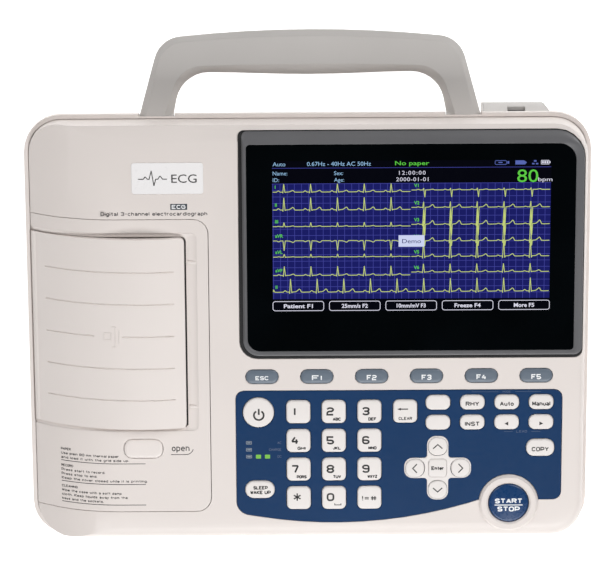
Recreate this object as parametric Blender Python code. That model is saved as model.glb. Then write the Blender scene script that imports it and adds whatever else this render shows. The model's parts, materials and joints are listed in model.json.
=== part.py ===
"""Tabletop ECG recorder, built as separate pieces around its sloping control panel.

Lengths are millimetres and angles degrees; MM turns them into metres where a mesh is made. The recorder
stands on z = 0 with its user side at -Y and its carrying handle at +Y. Most pieces are drawn in the panel's
own frame: x to the right, w up the slope and h out of the panel. The panel empty carries that frame.
"""

import math

import bmesh
import bpy
from mathutils import Vector

MM = 0.001

# Panel frame
PANEL_TILT = 10.5
PANEL_Y = 3.2
PANEL_Z = 66.5

# Casing
HALF_WIDTH = 157.5
LEFT = -HALF_WIDTH
RIM_FRONT = -153.4
RIM_REAR = 92.8
RIM_RADIUS = 21.0
PARTING = -20.0
LIP_WIDTH = 2.3
LIP_RISE = 1.4
LIP_GAP = 0.35
SHELL_WALL = 2.5
RIM_SHELF = 5.0
NOSE_HEIGHT = 8.0
NOSE_FRONT = 9.0
NOSE_SIDE = 3.2
NOSE_REAR = 1.6
BROW_W = 80.6
BROW_SLOPE = 23.0
ROLL_X = LEFT + 51.0
ROLL_RADIUS = 74.0
ROLL_END = 43.0
BASE_Z = 3.0
BASE_WALL = 2.6
BASE_RADIUS = 17.0
BASE_EDGE = (2.2, 3.5)
BASE_INSET_SIDE = 8.0
BASE_INSET_FRONT = 7.0
BASE_INSET_REAR = 8.0
FIT = 0.3

# Screen
BEZEL_X = (-38.4, 152.8)
BEZEL_W = (-43.3, 87.0)
BEZEL_RADII = (10.0, 4.5, 15.5, 3.0)
BEZEL_PROUD = 0.7
BEZEL_SEAT = 1.8
BEZEL_LEDGE = 3.0
BEZEL_DEPTH = 7.0
GLASS_X = (-33.9, 147.8)
GLASS_W = (-39.0, 79.6)
GLASS_RADII = (7.0, 2.0, 9.5, 2.0)
GLASS_TOP = 0.1
GLASS_THICK = 1.4
LCD_CENTRE = (57.15, 27.45)
LCD_SIZE = (165.0, 104.0, 5.6)

# Keypad
FIELD_X = (-41.0, 142.0)
FIELD_TOP = -62.3
FIELD_STEP_W = -127.3
FIELD_CORNER = 4.5
FIELD_LEFT_CORNER = 8.0
FIELD_BOW_X = 15.0
FIELD_BOW_W = -140.4
FIELD_BOW_RADIUS = 255.0
FIELD_DEPTH = 1.5
FIELD_LEDGE = 2.4
FIELD_PROUD = 0.2
FIELD_SHELF = 2.2
KEY_FIT = 0.35
KEY_TRAVEL = 1.5
KEY_FOOT = -5.2
KEY_PROUD = 1.3
FUNCTION_PROUD = 1.1
KEY_EDGE = 0.8
KEY_BOARD_BORDER = 4.0
BOARD_GAP = 0.4
BOARD_THICK = 1.6
DIGIT_SIZE = (13.5, 13.5, 3.0)
DIGIT_X = (-6.0, 13.9, 33.9)
DIGIT_W = (-74.5, -91.6, -108.6, -125.6)
DIGIT_NAMES = (("key_1", "key_2", "key_3"), ("key_4", "key_5", "key_6"),
               ("key_7", "key_8", "key_9"), ("key_star", "key_0", "key_hash"))
PILL_SIZE = (13.8, 8.6, 3.6)
PILL_X = (72.4, 91.7, 111.0, 130.3)
PILL_W = (-69.4, -81.2)
PILL_NAMES = (("key_blank_upper", "key_rhythm", "key_auto", "key_manual"),
              ("key_blank_lower", "key_insert", "key_page_left", "key_page_right"))
FUNCTION_SIZE = (18.2, 7.9, 3.8)
FUNCTION_W = -53.9
FUNCTION_X0 = -26.2
FUNCTION_PITCH = 30.7
FUNCTION_NAMES = ("key_esc", "key_f1", "key_f2", "key_f3", "key_f4", "key_f5")
SLEEP_SIZE = (16.6, 10.3, 5.0)
SLEEP_AT = (-27.9, -120.5)
POWER_RADIUS = 8.75
POWER_AT = (-28.4, -74.8)
CLEAR_AT = (54.0, -74.5)
COPY_SIZE = (15.8, 10.0, 4.4)
COPY_AT = (130.1, -96.4)
CROSS_AT = (72.4, -108.2)
CROSS_REACH = 12.9
CROSS_SIZE = (10.7, 10.6, 4.6)
ENTER_SIZE = (10.3, 10.7, 2.0)
START_AT = (112.6, -129.2)
START_RADIUS = 11.3
START_RING_RADIUS = 16.75
START_RING_PROUD = 1.6
START_RING_GAP = 0.35
START_RING_BEVEL = 1.3
START_RING_LAND = 1.0
START_RING_DIP = 0.8

# Printer module
MODULE_X = LEFT + 102.3
MODULE_W = (-133.8, 37.6)
MODULE_RADIUS = 8.5
MODULE_FIT = 0.35
RECESS_X = LEFT + 95.5
RECESS_W = (-85.6, 29.7)
RECESS_DROP = 1.0
DOOR_X = LEFT + 88.7
DOOR_W = (-83.5, 26.9)
DOOR_RADIUS = 95.6
DOOR_CENTRE = (LEFT + 63.7, -91.6)
DOOR_THICK = 3.0
DOOR_CORNER = 2.5
DOOR_GAP = 0.4
PAPER_SLOT = 1.0
BAY_FLOOR_DROP = DOOR_THICK + 0.5
GROOVE_W = (7.8, -10.7, -29.3, -48.0, -66.5)
GROOVE_X = (LEFT + 10.5, LEFT + 82.6)
GROOVE_GAP_X = (LEFT + 38.0, LEFT + 53.5)
GROOVE_WIDTH = 0.9
GROOVE_DEPTH = 0.6
HINGE_X = LEFT + 5.3
HINGE_H = -18.4
HINGE_PIN_RADIUS = 1.0
HINGE_CLEARANCE = 0.15
KNUCKLE_RADIUS = 2.5
KNUCKLE_SWEEP = 3.4
PIN_ENGAGEMENT = 5.0
PIN_END_PLAY = 0.5
PAPER_W = (-72.0, 12.5)
PAPER_X = (LEFT + 14.0, LEFT + 69.5)
PAPER_DEPTH = 42.0
MECHANISM_W = (-82.5, 19.5)
MECHANISM_DEPTH = 24.0
TUB_WALL = 2.2
DECK_WALL = 3.5
DECK_LEFT = LEFT + 9.5
DECK_REAR = -87.0
ROLLER_X = LEFT + 84.0
ROLLER_H = -5.6
ROLLER_RADIUS = 3.4
ROLLER_SHAFT = 1.5
ROLLER_W = (-71.0, 12.0)
ARM_THICK = 2.6
ARM_GAP = 0.6
ARM_WALL = 1.5
ARM_TOP = 0.2
GEAR_MODULE = 0.62
ROLLER_TEETH = 14
PINION_TEETH = 10
GEAR_WIDTH = 3.4
GEAR_BACKLASH = 0.25
GEAR_RELIEF = 0.4
PINION_DROP = 7.2
MOTOR_RADIUS = 6.0
MOTOR_LENGTH = 15.0
MOTOR_SHAFT = 1.0
SHAFT_HOLE_PLAY = 0.6
HEAD_GAP = 0.4
HEAD_THICK = 3.2
HEAD_X = (LEFT + 74.5, LEFT + 89.1)
OPEN_AT = (LEFT + 64.2, -96.0)
OPEN_SIZE = (21.7, 10.9, 4.6)
OPEN_PROUD = 1.0
OPEN_FOOT = -5.0

# Rear face: handle, port block, mains inlet
HANDLE_X = 1.5
HANDLE_RADIUS = 6.0
PIVOT_Y = RIM_REAR - 0.3
PIVOT_Z = 54.4
BAY_HALF = 94.9
BAY_Y = PIVOT_Y - HANDLE_RADIUS - 2.2
BAY_TOP = PIVOT_Z + HANDLE_RADIUS + 0.6
TRUNNION_RADIUS = 2.6
TRUNNION_END = 69.0
BEARING_HALF = 74.7
BEARING_INNER = 58.0
BEARING_Y = PIVOT_Y + 5.0
BEARING_FLOOR = PIVOT_Z - 7.5
LEG_OUTER = 94.4
LEG_INNER = 75.8
HANDLE_REACH = RIM_REAR + 51.4
BAR_DEPTH = 23.5
HANDLE_BOW = 4.2
GRIP_BOW = 1.3
BAR_STEPS = 4
OUTER_LEAN = 0.271
INNER_LEAN = 0.193
OUTER_CORNER = 15.8
INNER_CORNER = 18.6
HANDLE_OUTER_BEVEL = (3.6, 2.6)
HANDLE_INNER_BEVEL = (4.6, 4.2)
LEG_NOTCH = 1.4
LEG_PLAY = 0.8
PORT_X = (97.9, 135.3)
PORT_REAR = RIM_REAR + 9.3
PORT_TOP = 60.5
PORT_SLOPE_Y = RIM_REAR + 4.4
PORT_SLOPE_Z = 50.0
PORT_FLOOR = 26.0
PORT_FRONT = RIM_REAR - 8.2
PORT_SLOT_X = (111.2, 121.0)
PORT_SLOT_HEIGHT = 6.0
PORT_SLOT_DEPTH = 9.0
PORT_SLOT_RISE = 1.0
PORT_TAPER = 6.7
PORT_CHIN = 4.5
INLET_X = (LEFT + 21.5, LEFT + 49.5)
INLET_Z = (18.0, 40.0)
INLET_Y = (RIM_REAR - 28.8, RIM_REAR + 1.2)
INLET_MOUTH = (22.0, 15.5)
INLET_DEPTH = 16.0
BLADE_BACK = 6.0
BLADE_SIZE = (2.0, 4.0)
BLADES = ((-7.0, -2.0), (0.0, 3.0), (7.0, -2.0))
SOCKET_Y = (-21.0, 21.0)
SOCKET_Z = (17.0, 30.0)
SOCKET_X = (HALF_WIDTH - 21.5, HALF_WIDTH - 1.5)
SOCKET_MOUTH = (34.0, 8.0)
SOCKET_DEPTH = 7.0

# Inside and underside
BATTERY_X = (-45.0, 65.0)
BATTERY_Y = (2.0, 60.0)
BATTERY_THICK = 20.0
BATTERY_RADIUS = 6.0
COVER_BORDER = 3.0
MAIN_BOARD_X = (-54.8, 142.0)
MAIN_BOARD_Y = (-70.0, BAY_Y - 3.8)
MAIN_BOARD_Z = 33.0
BOARD_PARTS = (((-40.0, -12.0), (-52.0, -24.0), 6.0), ((10.0, 44.0), (0.0, 34.0), 3.5),
               ((70.0, 92.0), (-40.0, -12.0), 7.0), ((100.0, 130.0), (20.0, 48.0), 8.0))
POST_RADIUS = 4.0
POST_INSET = (3.8, 7.0)
FOOT_X = (LEFT + 29.5, HALF_WIDTH - 29.5)
FOOT_DEPTH = 12.0
FOOT_RADIUS = 5.5
FOOT_FRONT_Y = -118.0
FOOT_REAR_Y = RIM_REAR - 18.8


# ---------------------------------------------------------------- scene and materials

def clear_scene():
    for obj in list(bpy.data.objects):
        bpy.data.objects.remove(obj, do_unlink=True)


def material(name, colour, roughness=0.5, metallic=0.0):
    made = bpy.data.materials.new(name)
    made.use_nodes = True
    shader = made.node_tree.nodes["Principled BSDF"]
    shader.inputs["Base Color"].default_value = (*colour, 1.0)
    shader.inputs["Roughness"].default_value = roughness
    shader.inputs["Metallic"].default_value = metallic
    return made


clear_scene()
WHITE = material("casing_white", (0.79, 0.74, 0.71), 0.45)
GREY = material("handle_grey", (0.46, 0.45, 0.43), 0.5)
BEZEL_GREY = material("bezel_grey", (0.14, 0.14, 0.145), 0.4)
GLASS = material("screen_glass", (0.01, 0.01, 0.012), 0.08)
BLUE = material("field_blue", (0.02, 0.055, 0.16), 0.35)
KEY_WHITE = material("key_white", (0.8, 0.77, 0.74), 0.5)
KEY_GREY = material("key_grey", (0.2, 0.23, 0.27), 0.45)
KEY_BLUE = material("key_blue", (0.006, 0.045, 0.15), 0.35)
STEEL = material("steel", (0.55, 0.55, 0.56), 0.3, 1.0)
RUBBER = material("rubber", (0.03, 0.03, 0.03), 0.8)
BOARD = material("circuit_board", (0.02, 0.14, 0.06), 0.5)
DARK = material("dark_plastic", (0.05, 0.05, 0.055), 0.5)

panel = bpy.data.objects.new("panel", None)
bpy.context.scene.collection.objects.link(panel)
panel.location = (0.0, PANEL_Y * MM, PANEL_Z * MM)
panel.rotation_euler.x = math.radians(PANEL_TILT)


def panel_to_world(w, h):
    """(y, z) of the panel point (w, h)."""
    tilt = math.radians(PANEL_TILT)
    return (PANEL_Y + w * math.cos(tilt) - h * math.sin(tilt),
            PANEL_Z + w * math.sin(tilt) + h * math.cos(tilt))


# ---------------------------------------------------------------- mesh tools

def rounded_rectangle(xs, ys, radii, steps=4):
    """Corners run lower left, lower right, upper right, upper left, with one radius or four."""
    radii = radii if isinstance(radii, tuple) else (radii,) * 4
    (x0, x1), (y0, y1) = xs, ys
    corners = ((x0, y0, 1, 1), (x1, y0, -1, 1), (x1, y1, -1, -1), (x0, y1, 1, -1))
    points = []
    for turn, ((x, y, sx, sy), radius) in enumerate(zip(corners, radii)):
        for step in range(steps + 1):
            angle = math.radians(180 + 90 * turn + 90 * step / steps)
            points.append((x + radius * (sx + math.cos(angle)), y + radius * (sy + math.sin(angle))))
    return points


def circle(centre, radius, steps=24):
    turns = [2 * math.pi * step / steps for step in range(steps)]
    return [(centre[0] + radius * math.cos(t), centre[1] + radius * math.sin(t)) for t in turns]


def add_rings(mesh, rings):
    """Skins a stack of closed rings of equal length and caps both ends."""
    rows = [[mesh.verts.new(Vector(point) * MM) for point in ring] for ring in rings]
    count = len(rows[0])
    for lower, upper in zip(rows, rows[1:]):
        for i in range(count):
            j = (i + 1) % count
            mesh.faces.new((lower[i], lower[j], upper[j], upper[i]))
    mesh.faces.new(rows[0][::-1])
    mesh.faces.new(rows[-1])


def make_object(name, stacks, look=None, parent=panel, origin=(0, 0, 0), smooth=35):
    """One object from one or more stacks of rings. Without a material it is a cutter or a guide."""
    mesh = bmesh.new()
    for rings in stacks:
        add_rings(mesh, rings)
    bmesh.ops.recalc_face_normals(mesh, faces=mesh.faces)
    bmesh.ops.connect_verts_nonplanar(mesh, angle_limit=0.0005, faces=mesh.faces)
    bmesh.ops.translate(mesh, verts=mesh.verts, vec=-Vector(origin) * MM)
    data = bpy.data.meshes.new(name)
    mesh.to_mesh(data)
    mesh.free()
    obj = bpy.data.objects.new(name, data)
    bpy.context.scene.collection.objects.link(obj)
    obj.parent = parent
    obj.location = Vector(origin) * MM
    if look is None:
        obj.hide_render = True
        obj.display_type = "WIRE"
    else:
        data.materials.append(look)
        data.shade_smooth()
        data.set_sharp_from_angle(angle=math.radians(smooth))
    return obj


def prism(outline, low, high):
    """A straight stack along h."""
    return [[(x, y, low) for x, y in outline], [(x, y, high) for x, y in outline]]


def along_x(profile, x0, x1):
    """A (y, z) profile carried along x."""
    return [[(x0, y, z) for y, z in profile], [(x1, y, z) for y, z in profile]]


def along_w(profile, w0, w1):
    """An (x, h) profile carried along w."""
    return [[(x, w0, h) for x, h in profile], [(x, w1, h) for x, h in profile]]


def box(xs, ys, zs):
    return prism([(xs[0], ys[0]), (xs[1], ys[0]), (xs[1], ys[1]), (xs[0], ys[1])], zs[0], zs[1])


def grown(span, by):
    return (span[0] - by, span[1] + by)


def both_sides(inner, outer):
    """The same span on the left and on the right of the handle's middle."""
    return (HANDLE_X - outer, HANDLE_X - inner), (HANDLE_X + inner, HANDLE_X + outer)


def boolean(obj, other, operation):
    change = obj.modifiers.new(operation.lower() + "_" + other.name, "BOOLEAN")
    change.operation = operation
    change.object = other
    change.solver = "EXACT"


def cut(obj, *others):
    for other in others:
        boolean(obj, other, "DIFFERENCE")


def join(obj, *others):
    for other in others:
        boolean(obj, other, "UNION")


def keep(obj, *others):
    for other in others:
        boolean(obj, other, "INTERSECT")


# ---------------------------------------------------------------- shapes shared by the casing pieces

def arc(centre, radius, start, end, steps):
    """Points from angle start to angle end, in degrees."""
    angles = [math.radians(start + (end - start) * i / steps) for i in range(steps + 1)]
    return [(centre[0] + radius * math.cos(a), centre[1] + radius * math.sin(a)) for a in angles]


SKIN_FLOOR = -60.0
SKIN_REACH = 200.0


def skin(name, drop):
    """A solid that fills all below the panel surface lowered by drop: flat, rolled off on the left."""
    radius = ROLL_RADIUS - drop
    centre = (ROLL_X, -ROLL_RADIUS)
    edge = arc(centre, radius, 90 + ROLL_END, 90, 12)
    tail = edge[0]
    left = (-SKIN_REACH, tail[1] - (tail[0] + SKIN_REACH) / math.tan(math.radians(90 - ROLL_END)))
    profile = [left] + edge + [(SKIN_REACH, -drop), (SKIN_REACH, SKIN_FLOOR), (-SKIN_REACH, left[1] - 5)]
    solid = make_object(name, [along_w(profile, -SKIN_REACH, SKIN_REACH)])
    fall = math.tan(math.radians(BROW_SLOPE))
    rear = SKIN_REACH
    brow = [(-SKIN_REACH, -drop), (BROW_W, -drop), (rear, -drop - fall * (rear - BROW_W)),
            (rear, SKIN_FLOOR - 90), (-SKIN_REACH, SKIN_FLOOR - 90)]
    keep(solid, make_object(name + "_brow", [along_x(brow, -SKIN_REACH - 1, SKIN_REACH + 1)]))
    return solid


def casing_outline(inset, steps=7):
    """The plan of the casing, pulled in by inset on every side."""
    return rounded_rectangle((-HALF_WIDTH + inset, HALF_WIDTH - inset), (RIM_FRONT + inset, RIM_REAR - inset),
                             RIM_RADIUS - inset, steps)


def casing_rings(inset, top, bottom):
    """The casing's plan with an elliptical edge, widest at the front nose."""
    rings = [[(x, w, bottom) for x, w in casing_outline(inset)]]
    for step in range(6):
        turn = math.radians(90 * step / 5)
        share = 1 - math.cos(turn)
        height = top - NOSE_HEIGHT * (1 - math.sin(turn))
        xs = (-HALF_WIDTH + inset + NOSE_SIDE * share * 0.5, HALF_WIDTH - inset - NOSE_SIDE * share)
        ws = (RIM_FRONT + inset + NOSE_FRONT * share, RIM_REAR - inset - NOSE_REAR * share)
        radius = RIM_RADIUS - inset - NOSE_REAR * share
        rings.append([(x, w, height) for x, w in rounded_rectangle(xs, ws, radius, 7)])
    return rings


TOP_INSET = LIP_WIDTH + LIP_GAP
SKIN_TOP = skin("skin_top", 0.0)
SKIN_INSIDE = skin("skin_inside", SHELL_WALL)
SKIN_RECESS = skin("skin_recess", RECESS_DROP)
SKIN_BAY = skin("skin_bay", BAY_FLOOR_DROP)
SKIN_SEAT = skin("skin_seat", BEZEL_SEAT)
SKIN_SEAT_TOP = skin("skin_seat_top", BEZEL_SEAT - FIT)
SKIN_PROUD = skin("skin_proud", -BEZEL_PROUD)
OUT_LEFT = -HALF_WIDTH - 10
HIGH = 8.0
LOW = -12.0
OUTSIDE = 200.0
UNDER = -5.0


def field_outline(grow):
    """The blue field: straight top and right, a bowed front edge, one step beside the start key."""
    x0, x1 = FIELD_X[0] - grow, FIELD_X[1] + grow
    top, step = FIELD_TOP + grow, FIELD_STEP_W - grow
    radius, corner = FIELD_BOW_RADIUS + grow, FIELD_CORNER + grow
    centre = (FIELD_BOW_X, FIELD_BOW_W + FIELD_BOW_RADIUS)
    big = FIELD_LEFT_CORNER + grow

    def bow(x):
        return centre[1] - math.sqrt(radius ** 2 - (x - centre[0]) ** 2)

    points = arc((x1 - corner, top - corner), corner, 0, 90, 4)
    points += arc((x0 + corner, top - corner), corner, 90, 180, 4)
    points += arc((x0 + big, bow(x0 + big) + big), big, 180, 255, 5)
    span = START_AT[0] - (x0 + big + 4)
    points += [(x, bow(x)) for x in (x0 + big + 4 + span * i / 12 for i in range(13))]
    points += [(START_AT[0], step)]
    points += arc((x1 - corner, step + corner), corner, 270, 360, 4)
    return points


# ---------------------------------------------------------------- keys

def key_slots():
    """(name, centre, size) of every key that is a rounded rectangle in the blue field."""
    slots = [("key_sleep", SLEEP_AT, SLEEP_SIZE), ("key_clear", CLEAR_AT, DIGIT_SIZE),
             ("key_copy", COPY_AT, COPY_SIZE), ("key_enter", CROSS_AT, ENTER_SIZE)]
    for names, w in zip(DIGIT_NAMES, DIGIT_W):
        slots += [(name, (x, w), DIGIT_SIZE) for name, x in zip(names, DIGIT_X)]
    for names, w in zip(PILL_NAMES, PILL_W):
        slots += [(name, (x, w), PILL_SIZE) for name, x in zip(names, PILL_X)]
    wide = CROSS_SIZE
    tall = (CROSS_SIZE[1], CROSS_SIZE[0], CROSS_SIZE[2])
    x, w = CROSS_AT
    slots += [("key_up", (x, w + CROSS_REACH), wide), ("key_down", (x, w - CROSS_REACH), wide),
              ("key_left", (x - CROSS_REACH, w), tall), ("key_right", (x + CROSS_REACH, w), tall)]
    return slots


def function_slots():
    return [(name, (FUNCTION_X0 + FUNCTION_PITCH * i, FUNCTION_W), FUNCTION_SIZE)
            for i, name in enumerate(FUNCTION_NAMES)]


def slot_outline(centre, size, grow=0.0, steps=3):
    (x, w), (width, height, radius) = centre, size
    return rounded_rectangle((x - width / 2 - grow, x + width / 2 + grow),
                             (w - height / 2 - grow, w + height / 2 + grow), radius + grow, steps)


def key_stack(outline_of, foot, top):
    """A key cap: straight sides and one bevelled edge. outline_of(grow) gives its plan."""
    lower = [(x, w, foot) for x, w in outline_of(0.0)]
    upper = [(x, w, top - KEY_EDGE) for x, w in outline_of(0.0)]
    face = [(x, w, top) for x, w in outline_of(-KEY_EDGE)]
    return [lower, upper, face]


def make_keys():
    for name, centre, size in key_slots():
        stack = key_stack(lambda grow: slot_outline(centre, size, grow), KEY_FOOT, KEY_PROUD)
        make_object(name, [stack], KEY_WHITE, origin=(*centre, 0))
    for name, centre, size in function_slots():
        stack = key_stack(lambda grow: slot_outline(centre, size, grow), KEY_FOOT, FUNCTION_PROUD)
        make_object(name, [stack], KEY_GREY, origin=(*centre, 0))
    power = key_stack(lambda grow: circle(POWER_AT, POWER_RADIUS + grow), KEY_FOOT, KEY_PROUD)
    make_object("key_power", [power], KEY_WHITE, origin=(*POWER_AT, 0))
    start = key_stack(lambda grow: circle(START_AT, START_RADIUS + grow, 32), KEY_FOOT, START_RING_PROUD)
    make_object("key_start_stop", [start], KEY_BLUE, origin=(*START_AT, 0))
    button = key_stack(lambda grow: slot_outline(OPEN_AT, OPEN_SIZE, grow), OPEN_FOOT, OPEN_PROUD)
    make_object("open_button", [button], WHITE, origin=(*OPEN_AT, 0))


def make_keypad():
    plate = make_object("keypad_plate", [prism(field_outline(0), -FIELD_DEPTH, FIELD_PROUD)], BLUE)
    holes = [prism(slot_outline(centre, size, KEY_FIT), LOW, HIGH) for _, centre, size in key_slots()]
    holes.append(prism(circle(POWER_AT, POWER_RADIUS + KEY_FIT), LOW, HIGH))
    cut(plate, make_object("keypad_plate_holes", holes))
    notch = circle(START_AT, START_RING_RADIUS + START_RING_GAP, 32)
    cut(plate, make_object("keypad_plate_notch", [prism(notch, LOW, HIGH)]))
    top = KEY_FOOT - KEY_TRAVEL - BOARD_GAP
    board_w = (FIELD_BOW_W - KEY_BOARD_BORDER, FUNCTION_W + FUNCTION_SIZE[1] / 2 + 2)
    board_plan = rounded_rectangle(grown(FIELD_X, 3), board_w, 4.0, 2)
    make_object("keypad_board", [prism(board_plan, top - BOARD_THICK, top)], BOARD)


# ---------------------------------------------------------------- top shell

def make_top_shell():
    shell = make_object("top_shell", [casing_rings(TOP_INSET, 0.0, PARTING + FIT)], WHITE)
    keep(shell, SKIN_TOP)
    cavity = make_object("top_cavity", [casing_rings(TOP_INSET + SHELL_WALL, -SHELL_WALL, PARTING - 5)])
    keep(cavity, SKIN_INSIDE)
    cut(shell, cavity)
    pad = make_object("field_pad", [prism(field_outline(FIELD_LEDGE + 1), -FIELD_DEPTH - FIELD_SHELF, -1.0)])
    join(shell, pad)
    module = make_object("module_cut", [module_prism(0.0)])
    cut(shell, module)
    seat = make_object("bezel_seat", [prism(bezel_outline(FIT), LOW, HIGH)])
    cut(seat, SKIN_SEAT)
    window = make_object("bezel_window", [prism(bezel_outline(FIT - BEZEL_LEDGE), LOW - 4, HIGH)])
    cut(shell, seat, window)
    field = make_object("field_pocket", [prism(field_outline(FIT), -FIELD_DEPTH - FIT, HIGH)])
    boss = prism(circle(START_AT, START_RING_RADIUS, 32), LOW, HIGH + 1)
    cut(field, make_object("ring_keepout", [boss]))
    inner = make_object("field_window", [prism(field_outline(-FIELD_LEDGE), LOW, HIGH)])
    web = prism(circle(START_AT, START_RING_RADIUS + START_RING_BEVEL, 32), LOW - 1, HIGH + 1)
    cut(inner, make_object("ring_web", [web]))
    cut(shell, field, inner)
    ring = [[(x, w, h) for x, w in circle(START_AT, radius, 32)]
            for radius, h in ((START_RING_RADIUS, -FIELD_DEPTH - FIELD_SHELF),
                              (START_RING_RADIUS, START_RING_PROUD - START_RING_BEVEL),
                              (START_RING_RADIUS - START_RING_BEVEL, START_RING_PROUD),
                              (START_RADIUS + KEY_FIT + START_RING_LAND, START_RING_PROUD),
                              (START_RADIUS + KEY_FIT, START_RING_PROUD - START_RING_DIP))]
    join(shell, make_object("ring_boss", [ring]))
    wells = [prism(circle(START_AT, START_RADIUS + KEY_FIT, 32), LOW, HIGH)]
    wells += [prism(slot_outline(centre, size, KEY_FIT), LOW, HIGH) for _, centre, size in function_slots()]
    cut(shell, make_object("key_wells", wells))


def bezel_outline(grow, steps=5):
    return rounded_rectangle(grown(BEZEL_X, grow), grown(BEZEL_W, grow),
                             tuple(r + grow if r + grow > 0.5 else 0.5 for r in BEZEL_RADII), steps)


def glass_outline(grow, steps=5):
    return rounded_rectangle(grown(GLASS_X, grow), grown(GLASS_W, grow),
                             tuple(r + grow if r + grow > 0.5 else 0.5 for r in GLASS_RADII), steps)


def make_screen():
    bezel = make_object("screen_bezel", [prism(bezel_outline(0), LOW, HIGH)], BEZEL_GREY)
    keep(bezel, SKIN_PROUD)
    seat = make_object("bezel_underside", [prism(bezel_outline(2), 2 * LOW, HIGH)])
    keep(seat, SKIN_SEAT_TOP)
    body = prism(bezel_outline(-BEZEL_LEDGE), 2 * LOW - 1, HIGH + 1)
    cut(seat, make_object("bezel_body_keepout", [body]))
    cut(bezel, seat)
    cut(bezel, make_object("bezel_trim", [prism(bezel_outline(5), 3 * LOW, -BEZEL_DEPTH)]))
    cut(bezel, make_object("glass_pocket", [prism(glass_outline(FIT), GLASS_TOP - GLASS_THICK - FIT, HIGH)]))
    x, w = LCD_CENTRE
    xs = (x - LCD_SIZE[0] / 2, x + LCD_SIZE[0] / 2)
    ws = (w - LCD_SIZE[1] / 2, w + LCD_SIZE[1] / 2)
    top = GLASS_TOP - GLASS_THICK - FIT
    cut(bezel, make_object("lcd_window", [box(grown(xs, FIT), grown(ws, FIT), (LOW, HIGH))]))
    make_object("screen_glass", [prism(glass_outline(0), GLASS_TOP - GLASS_THICK, GLASS_TOP)], GLASS)
    make_object("lcd_module", [box(xs, ws, (top - LCD_SIZE[2], top))], DARK)


# ---------------------------------------------------------------- printer

def module_prism(inset):
    """The printer module's plan, open past the casing's left edge."""
    outline = rounded_rectangle((OUT_LEFT, MODULE_X - inset), grown(MODULE_W, -inset),
                                (0.5, MODULE_RADIUS - inset, MODULE_RADIUS - inset, 0.5), 5)
    return prism(outline, PARTING - 20, HIGH)


def hinge_rod(radius, w0, w1, steps=16):
    ring = circle((HINGE_X, HINGE_H), radius, steps)
    return along_w(ring, w0, w1)


def make_printer_frame():
    frame = make_object("printer_frame", [casing_rings(TOP_INSET, 0.0, PARTING + FIT)], WHITE)
    keep(frame, SKIN_TOP)
    keep(frame, make_object("module_keep", [module_prism(MODULE_FIT)]))
    recess_plan = rounded_rectangle((OUT_LEFT - 4, RECESS_X), RECESS_W, (0.5, 3.0, 3.0, 0.5), 3)
    recess = make_object("recess", [prism(recess_plan, 3 * LOW, HIGH + 2)])
    cut(recess, SKIN_RECESS)
    bay_plan = rounded_rectangle((OUT_LEFT - 6, DOOR_X + PAPER_SLOT), grown(DOOR_W, DOOR_GAP),
                                 (0.5, DOOR_CORNER, DOOR_CORNER, 0.5), 3)
    bay = make_object("door_bay", [prism(bay_plan, 3 * LOW - 2, HIGH + 4)])
    cut(bay, SKIN_BAY)
    cut(frame, recess, bay)
    deck = make_object("deck_hollow", [box((DECK_LEFT, MODULE_X - DECK_WALL),
                                           (MODULE_W[0] + DECK_WALL, DECK_REAR), (PARTING - 2, HIGH))])
    keep(deck, SKIN_INSIDE)
    cut(frame, deck)
    wall = TUB_WALL
    mechanism_x = (PAPER_X[1] - 1, DOOR_X + PAPER_SLOT)
    tub = box((PAPER_X[0] - wall, PAPER_X[1]), grown(PAPER_W, wall), (-PAPER_DEPTH - wall, PARTING + 4))
    case = box((mechanism_x[0] - wall, mechanism_x[1] + wall), grown(MECHANISM_W, wall),
               (-MECHANISM_DEPTH - wall, PARTING + 4))
    join(frame, make_object("tub", [tub]), make_object("mechanism_case", [case]))
    cut(frame, make_object("paper_bay", [box(PAPER_X, PAPER_W, (-PAPER_DEPTH, HIGH))]))
    cut(frame, make_object("mechanism_bay", [box(mechanism_x, MECHANISM_W, (-MECHANISM_DEPTH, HIGH))]))
    door_span = grown(DOOR_W, DOOR_GAP)
    cut(frame, make_object("knuckle_relief", [hinge_rod(KNUCKLE_SWEEP, *door_span)]))
    pin_span = grown(door_span, PIN_ENGAGEMENT + PIN_END_PLAY)
    cut(frame, make_object("pin_bores", [hinge_rod(HINGE_PIN_RADIUS + HINGE_CLEARANCE, *pin_span)]))
    shaft = circle((PINION_X, PINION_H), MOTOR_SHAFT + SHAFT_HOLE_PLAY, 12)
    cut(frame, make_object("shaft_hole", [along_w(shaft, MECHANISM_W[0] - 20, MECHANISM_W[0] + 2)]))
    well = prism(slot_outline(OPEN_AT, OPEN_SIZE, KEY_FIT), PARTING, HIGH)
    cut(frame, make_object("open_well", [well]))


def door_profile(outer, inner, x_right):
    """A band between two arcs about the door's centre, from the hinge edge to x_right."""
    cx, cy = DOOR_CENTRE

    def edge(radius, x):
        return math.degrees(math.acos((x - cx) / radius))

    hinge_end = edge(outer, -HALF_WIDTH + TOP_INSET)
    top = arc(DOOR_CENTRE, outer, edge(outer, x_right), hinge_end, 20)
    under = arc(DOOR_CENTRE, inner, hinge_end, edge(inner, x_right), 20)
    return top + under


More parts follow.
